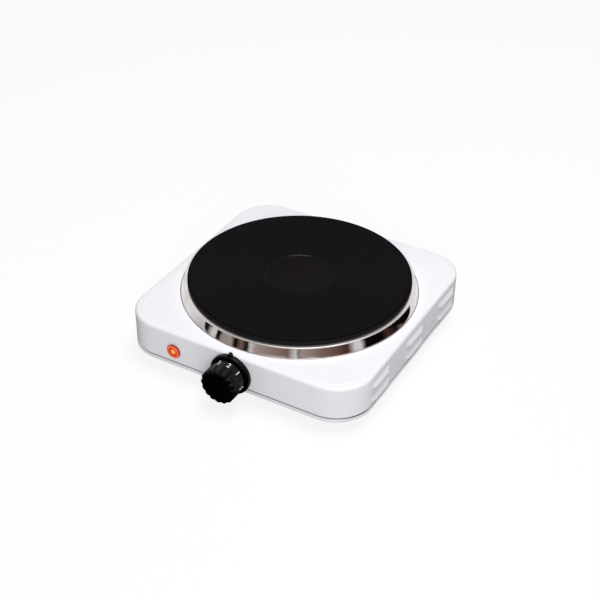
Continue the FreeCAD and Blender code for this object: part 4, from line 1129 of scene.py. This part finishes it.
add_piece("knob_moulded", make_knob(), "black_plastic", "control", "knob")
add_piece("bezel_moulded", make_bezel(), "black_plastic", "housing", "knob_bezel")

# %% [markdown]
# The dial's numbers are printed on the band, their feet towards the user. Each one is a text turned into a
# flat mesh, cut fine enough to bend, and then wrapped round the knob's axis a hair above the plastic, like
# a layer of paint.

# %% Dial numbers
DIAL = {"0": 104.5, "1": 48.6, "2": 12.6, "3": -23.4, "4": -59.4, "5": -95.4, "6": -132.0}
DIGIT_HEIGHT, DIGIT_MIDDLE, PAINT = 4.3, 8.5, 0.04
DIGIT_SHARE, BOLDER = 0.7, 0.04


def flat_digit(text):
    """A digit as a flat, finely cut bmesh, centred on its middle, in metres."""
    curve = bpy.data.curves.new("digit", "FONT")
    curve.body = text
    curve.size = DIGIT_HEIGHT / DIGIT_SHARE * MM
    curve.align_x, curve.align_y = "CENTER", "CENTER"
    curve.offset = BOLDER * MM
    holder = bpy.data.objects.new("digit", curve)
    bpy.context.scene.collection.objects.link(holder)
    graph = bpy.context.evaluated_depsgraph_get()
    mesh = bpy.data.meshes.new_from_object(holder.evaluated_get(graph), depsgraph=graph)
    bpy.data.objects.remove(holder)
    made = bmesh.new()
    made.from_mesh(mesh)
    bmesh.ops.triangulate(made, faces=made.faces)
    bmesh.ops.subdivide_edges(made, edges=made.edges, cuts=2, use_grid_fill=True)
    return made


def band_radius(height):
    """The band narrows evenly from the knob's back to its waist."""
    return BAND_WIDE + (BAND_NARROW - BAND_WIDE) * (height - BAND_BACK) / (WAIST - BAND_BACK)


def make_digits():
    """All the digits, wrapped round the band at their angles."""
    parts = []
    for text, clockwise in DIAL.items():
        made = flat_digit(text)
        for vert in made.verts:
            height = DIGIT_MIDDLE - vert.co.y / MM
            radius = band_radius(height) + PAINT
            angle = math.radians(90 - clockwise) - vert.co.x / MM / radius
            vert.co = KNOB + Vector((radius * math.cos(angle), -height, radius * math.sin(angle))) * MM
        bmesh.ops.recalc_face_normals(made, faces=made.faces)
        parts.append(made)
    return as_mesh("dial_numbers", *parts)


add_piece("dial_numbers", make_digits(), "dial_paint", "control")

# %% [markdown]
# The pilot lens is a button of clear orange plastic: a raised ring, a groove, and a faceted eye that
# scatters the bulb's light. Turned like the rest, with the eye's height rippling round its axis to make the
# facets.

# %% Pilot lens
FACETS, RIPPLE = 8, 0.35
EYE_RADIUS, EYE_HEIGHT = 2.4, 1.5


def faceted(angle, radius, height):
    """Ripple the eye so that it sparkles."""
    if radius > 2.3 * MM or height < 1.0 * MM:
        return radius, height
    share = radius / MM / EYE_RADIUS
    ripple = abs(math.sin(FACETS / 2 * angle)) * 4 * share * (1 - share)
    return radius, height - RIPPLE * MM * ripple


def make_lens():
    """Eye, groove and ring in front of the wall, and the barrel that goes through it."""
    eye = [Vector((radius, EYE_HEIGHT)) * MM for radius in (0, 0.4, 0.8, 1.2, 1.6, 2.0)]
    outline = eye + rounded([
        (2.2, EYE_HEIGHT, 0), (EYE_RADIUS, EYE_HEIGHT, 0.1), (2.9, 0.9, 0.15), (3.5, 0.9, 0.15),
        (4.0, 2.0, 0.3), (5.2, 2.0, 0.5), (6.1, 1.2, 0.4), (6.1, 0, 0.1), (4.4, 0, 0), (4.4, -9.5, 0.2),
        (3.2, -9.5, 0.1), (3.2, -0.8, 0.1), (0, -0.8, 0)], 4)
    centre = Vector((LENS.x, WALL_FRONT, LENS.z))
    return as_mesh("pilot_lens_moulded", turned(outline, centre, "front", FACETS * 12, shape=faceted))


add_piece("lens_moulded", make_lens(), "lamp_orange", "housing", "pilot_lens")

# %% [markdown]
# Behind, a flanged gland of dark plastic takes the supply cord through the wall. It is round all over, so
# one turned outline makes it, with its flange outside and its sleeve through the hole.

# %% Cord gland
gland_low, gland_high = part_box("cord_gland")
FLANGE_OUT, SLEEVE_IN, SLEEVE_RADIUS, CORD_HOLE = 4.0, 7.8, 6.9, 4.2
WALL_BACK = gland_high.y - FLANGE_OUT * MM


def make_gland():
    """From the hole's inner end out over the flange and back along the sleeve."""
    outline = rounded([
        (CORD_HOLE, -SLEEVE_IN, 0), (CORD_HOLE, 3.2, 0.2), (5.0, FLANGE_OUT, 0.2), (7.6, FLANGE_OUT, 0.3),
        (7.9, 3.6, 0.2), (9.5, 3.3, 0.9), (9.5, 0, 0.2), (SLEEVE_RADIUS, 0, 0),
        (SLEEVE_RADIUS, -SLEEVE_IN, 0.3), (CORD_HOLE, -SLEEVE_IN, 0)], 5)
    centre = Vector((AXIS.x, WALL_BACK, (gland_low.z + gland_high.z) / 2))
    return as_mesh("cord_gland_moulded", turned(outline, centre, "back"))


add_piece("gland_moulded", make_gland(), "dark_plastic", "housing", "cord_gland")

# %% [markdown]
# Underneath, four rubber feet are held by screws from below. The feet are one outline turned four times.
# Their screws share one shape with a crossed slot cut in its head, and the tree that cut the louvres puts
# them in place.

# %% Feet and their screws
FOOT_OUTLINE = [
    (1.95, 5, 0), (1.95, 10, 0), (11, 10, 0.3), (10.6, 5.2, 0.5), (10.0, 0, 0.8), (5.2, 0, 0.5), (5, 5, 0.4),
    (1.95, 5, 0)]
screw_low, screw_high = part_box("foot_screws")
HEAD_LOW, SCREW_TIP = screw_low.z / MM, screw_high.z / MM
foot_places = []


def add_foot(corner):
    """Turn a foot at one corner and keep its place for the screw."""
    low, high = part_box("foot_" + corner)
    centre = Vector(((low.x + high.x) / 2, (low.y + high.y) / 2, 0))
    foot_places.append((centre, 0.0))
    mesh = as_mesh("foot_" + corner + "_moulded", turned(rounded(FOOT_OUTLINE, 4), centre, segments=72))
    add_piece("rubber_foot_" + corner, mesh, "rubber", "housing", "foot_" + corner)


def screw():
    """A pan-head screw that points up."""
    outline = rounded([
        (0, HEAD_LOW, 0), (2.6, HEAD_LOW, 0.8), (4, HEAD_LOW + 1.2, 0.6), (4, 5, 0.1), (1.9, 5, 0.1),
        (1.9, SCREW_TIP - 1, 0.2), (1.2, SCREW_TIP, 0.1), (0, SCREW_TIP, 0)], 4)
    return turned(outline, Vector((0, 0, 0)), segments=48)


def crossed_slot():
    """A plus-shaped bar for the screwdriver's slot in the head's underside."""
    arm, half, depth = 2.3, 0.42, 1.5
    corners = [(half, half), (half, arm), (-half, arm), (-half, half), (-arm, half), (-arm, -half),
               (-half, -half), (-half, -arm), (half, -arm), (half, -half), (arm, -half), (arm, half)]
    ends = (HEAD_LOW - 1, HEAD_LOW + depth)
    near, far = [[Vector((x, y, z)) * MM for x, y in corners] for z in ends]
    return bar_between(near, far)[0]


for corner in ("front_left", "front_right", "rear_left", "rear_right"):
    add_foot(corner)
screws = pierced("foot_screws_turned", foot_places, "zinc_steel", Body=screw(), Cutter=crossed_slot())
add_piece("screws_turned", screws, "zinc_steel", "housing", "foot_screws")
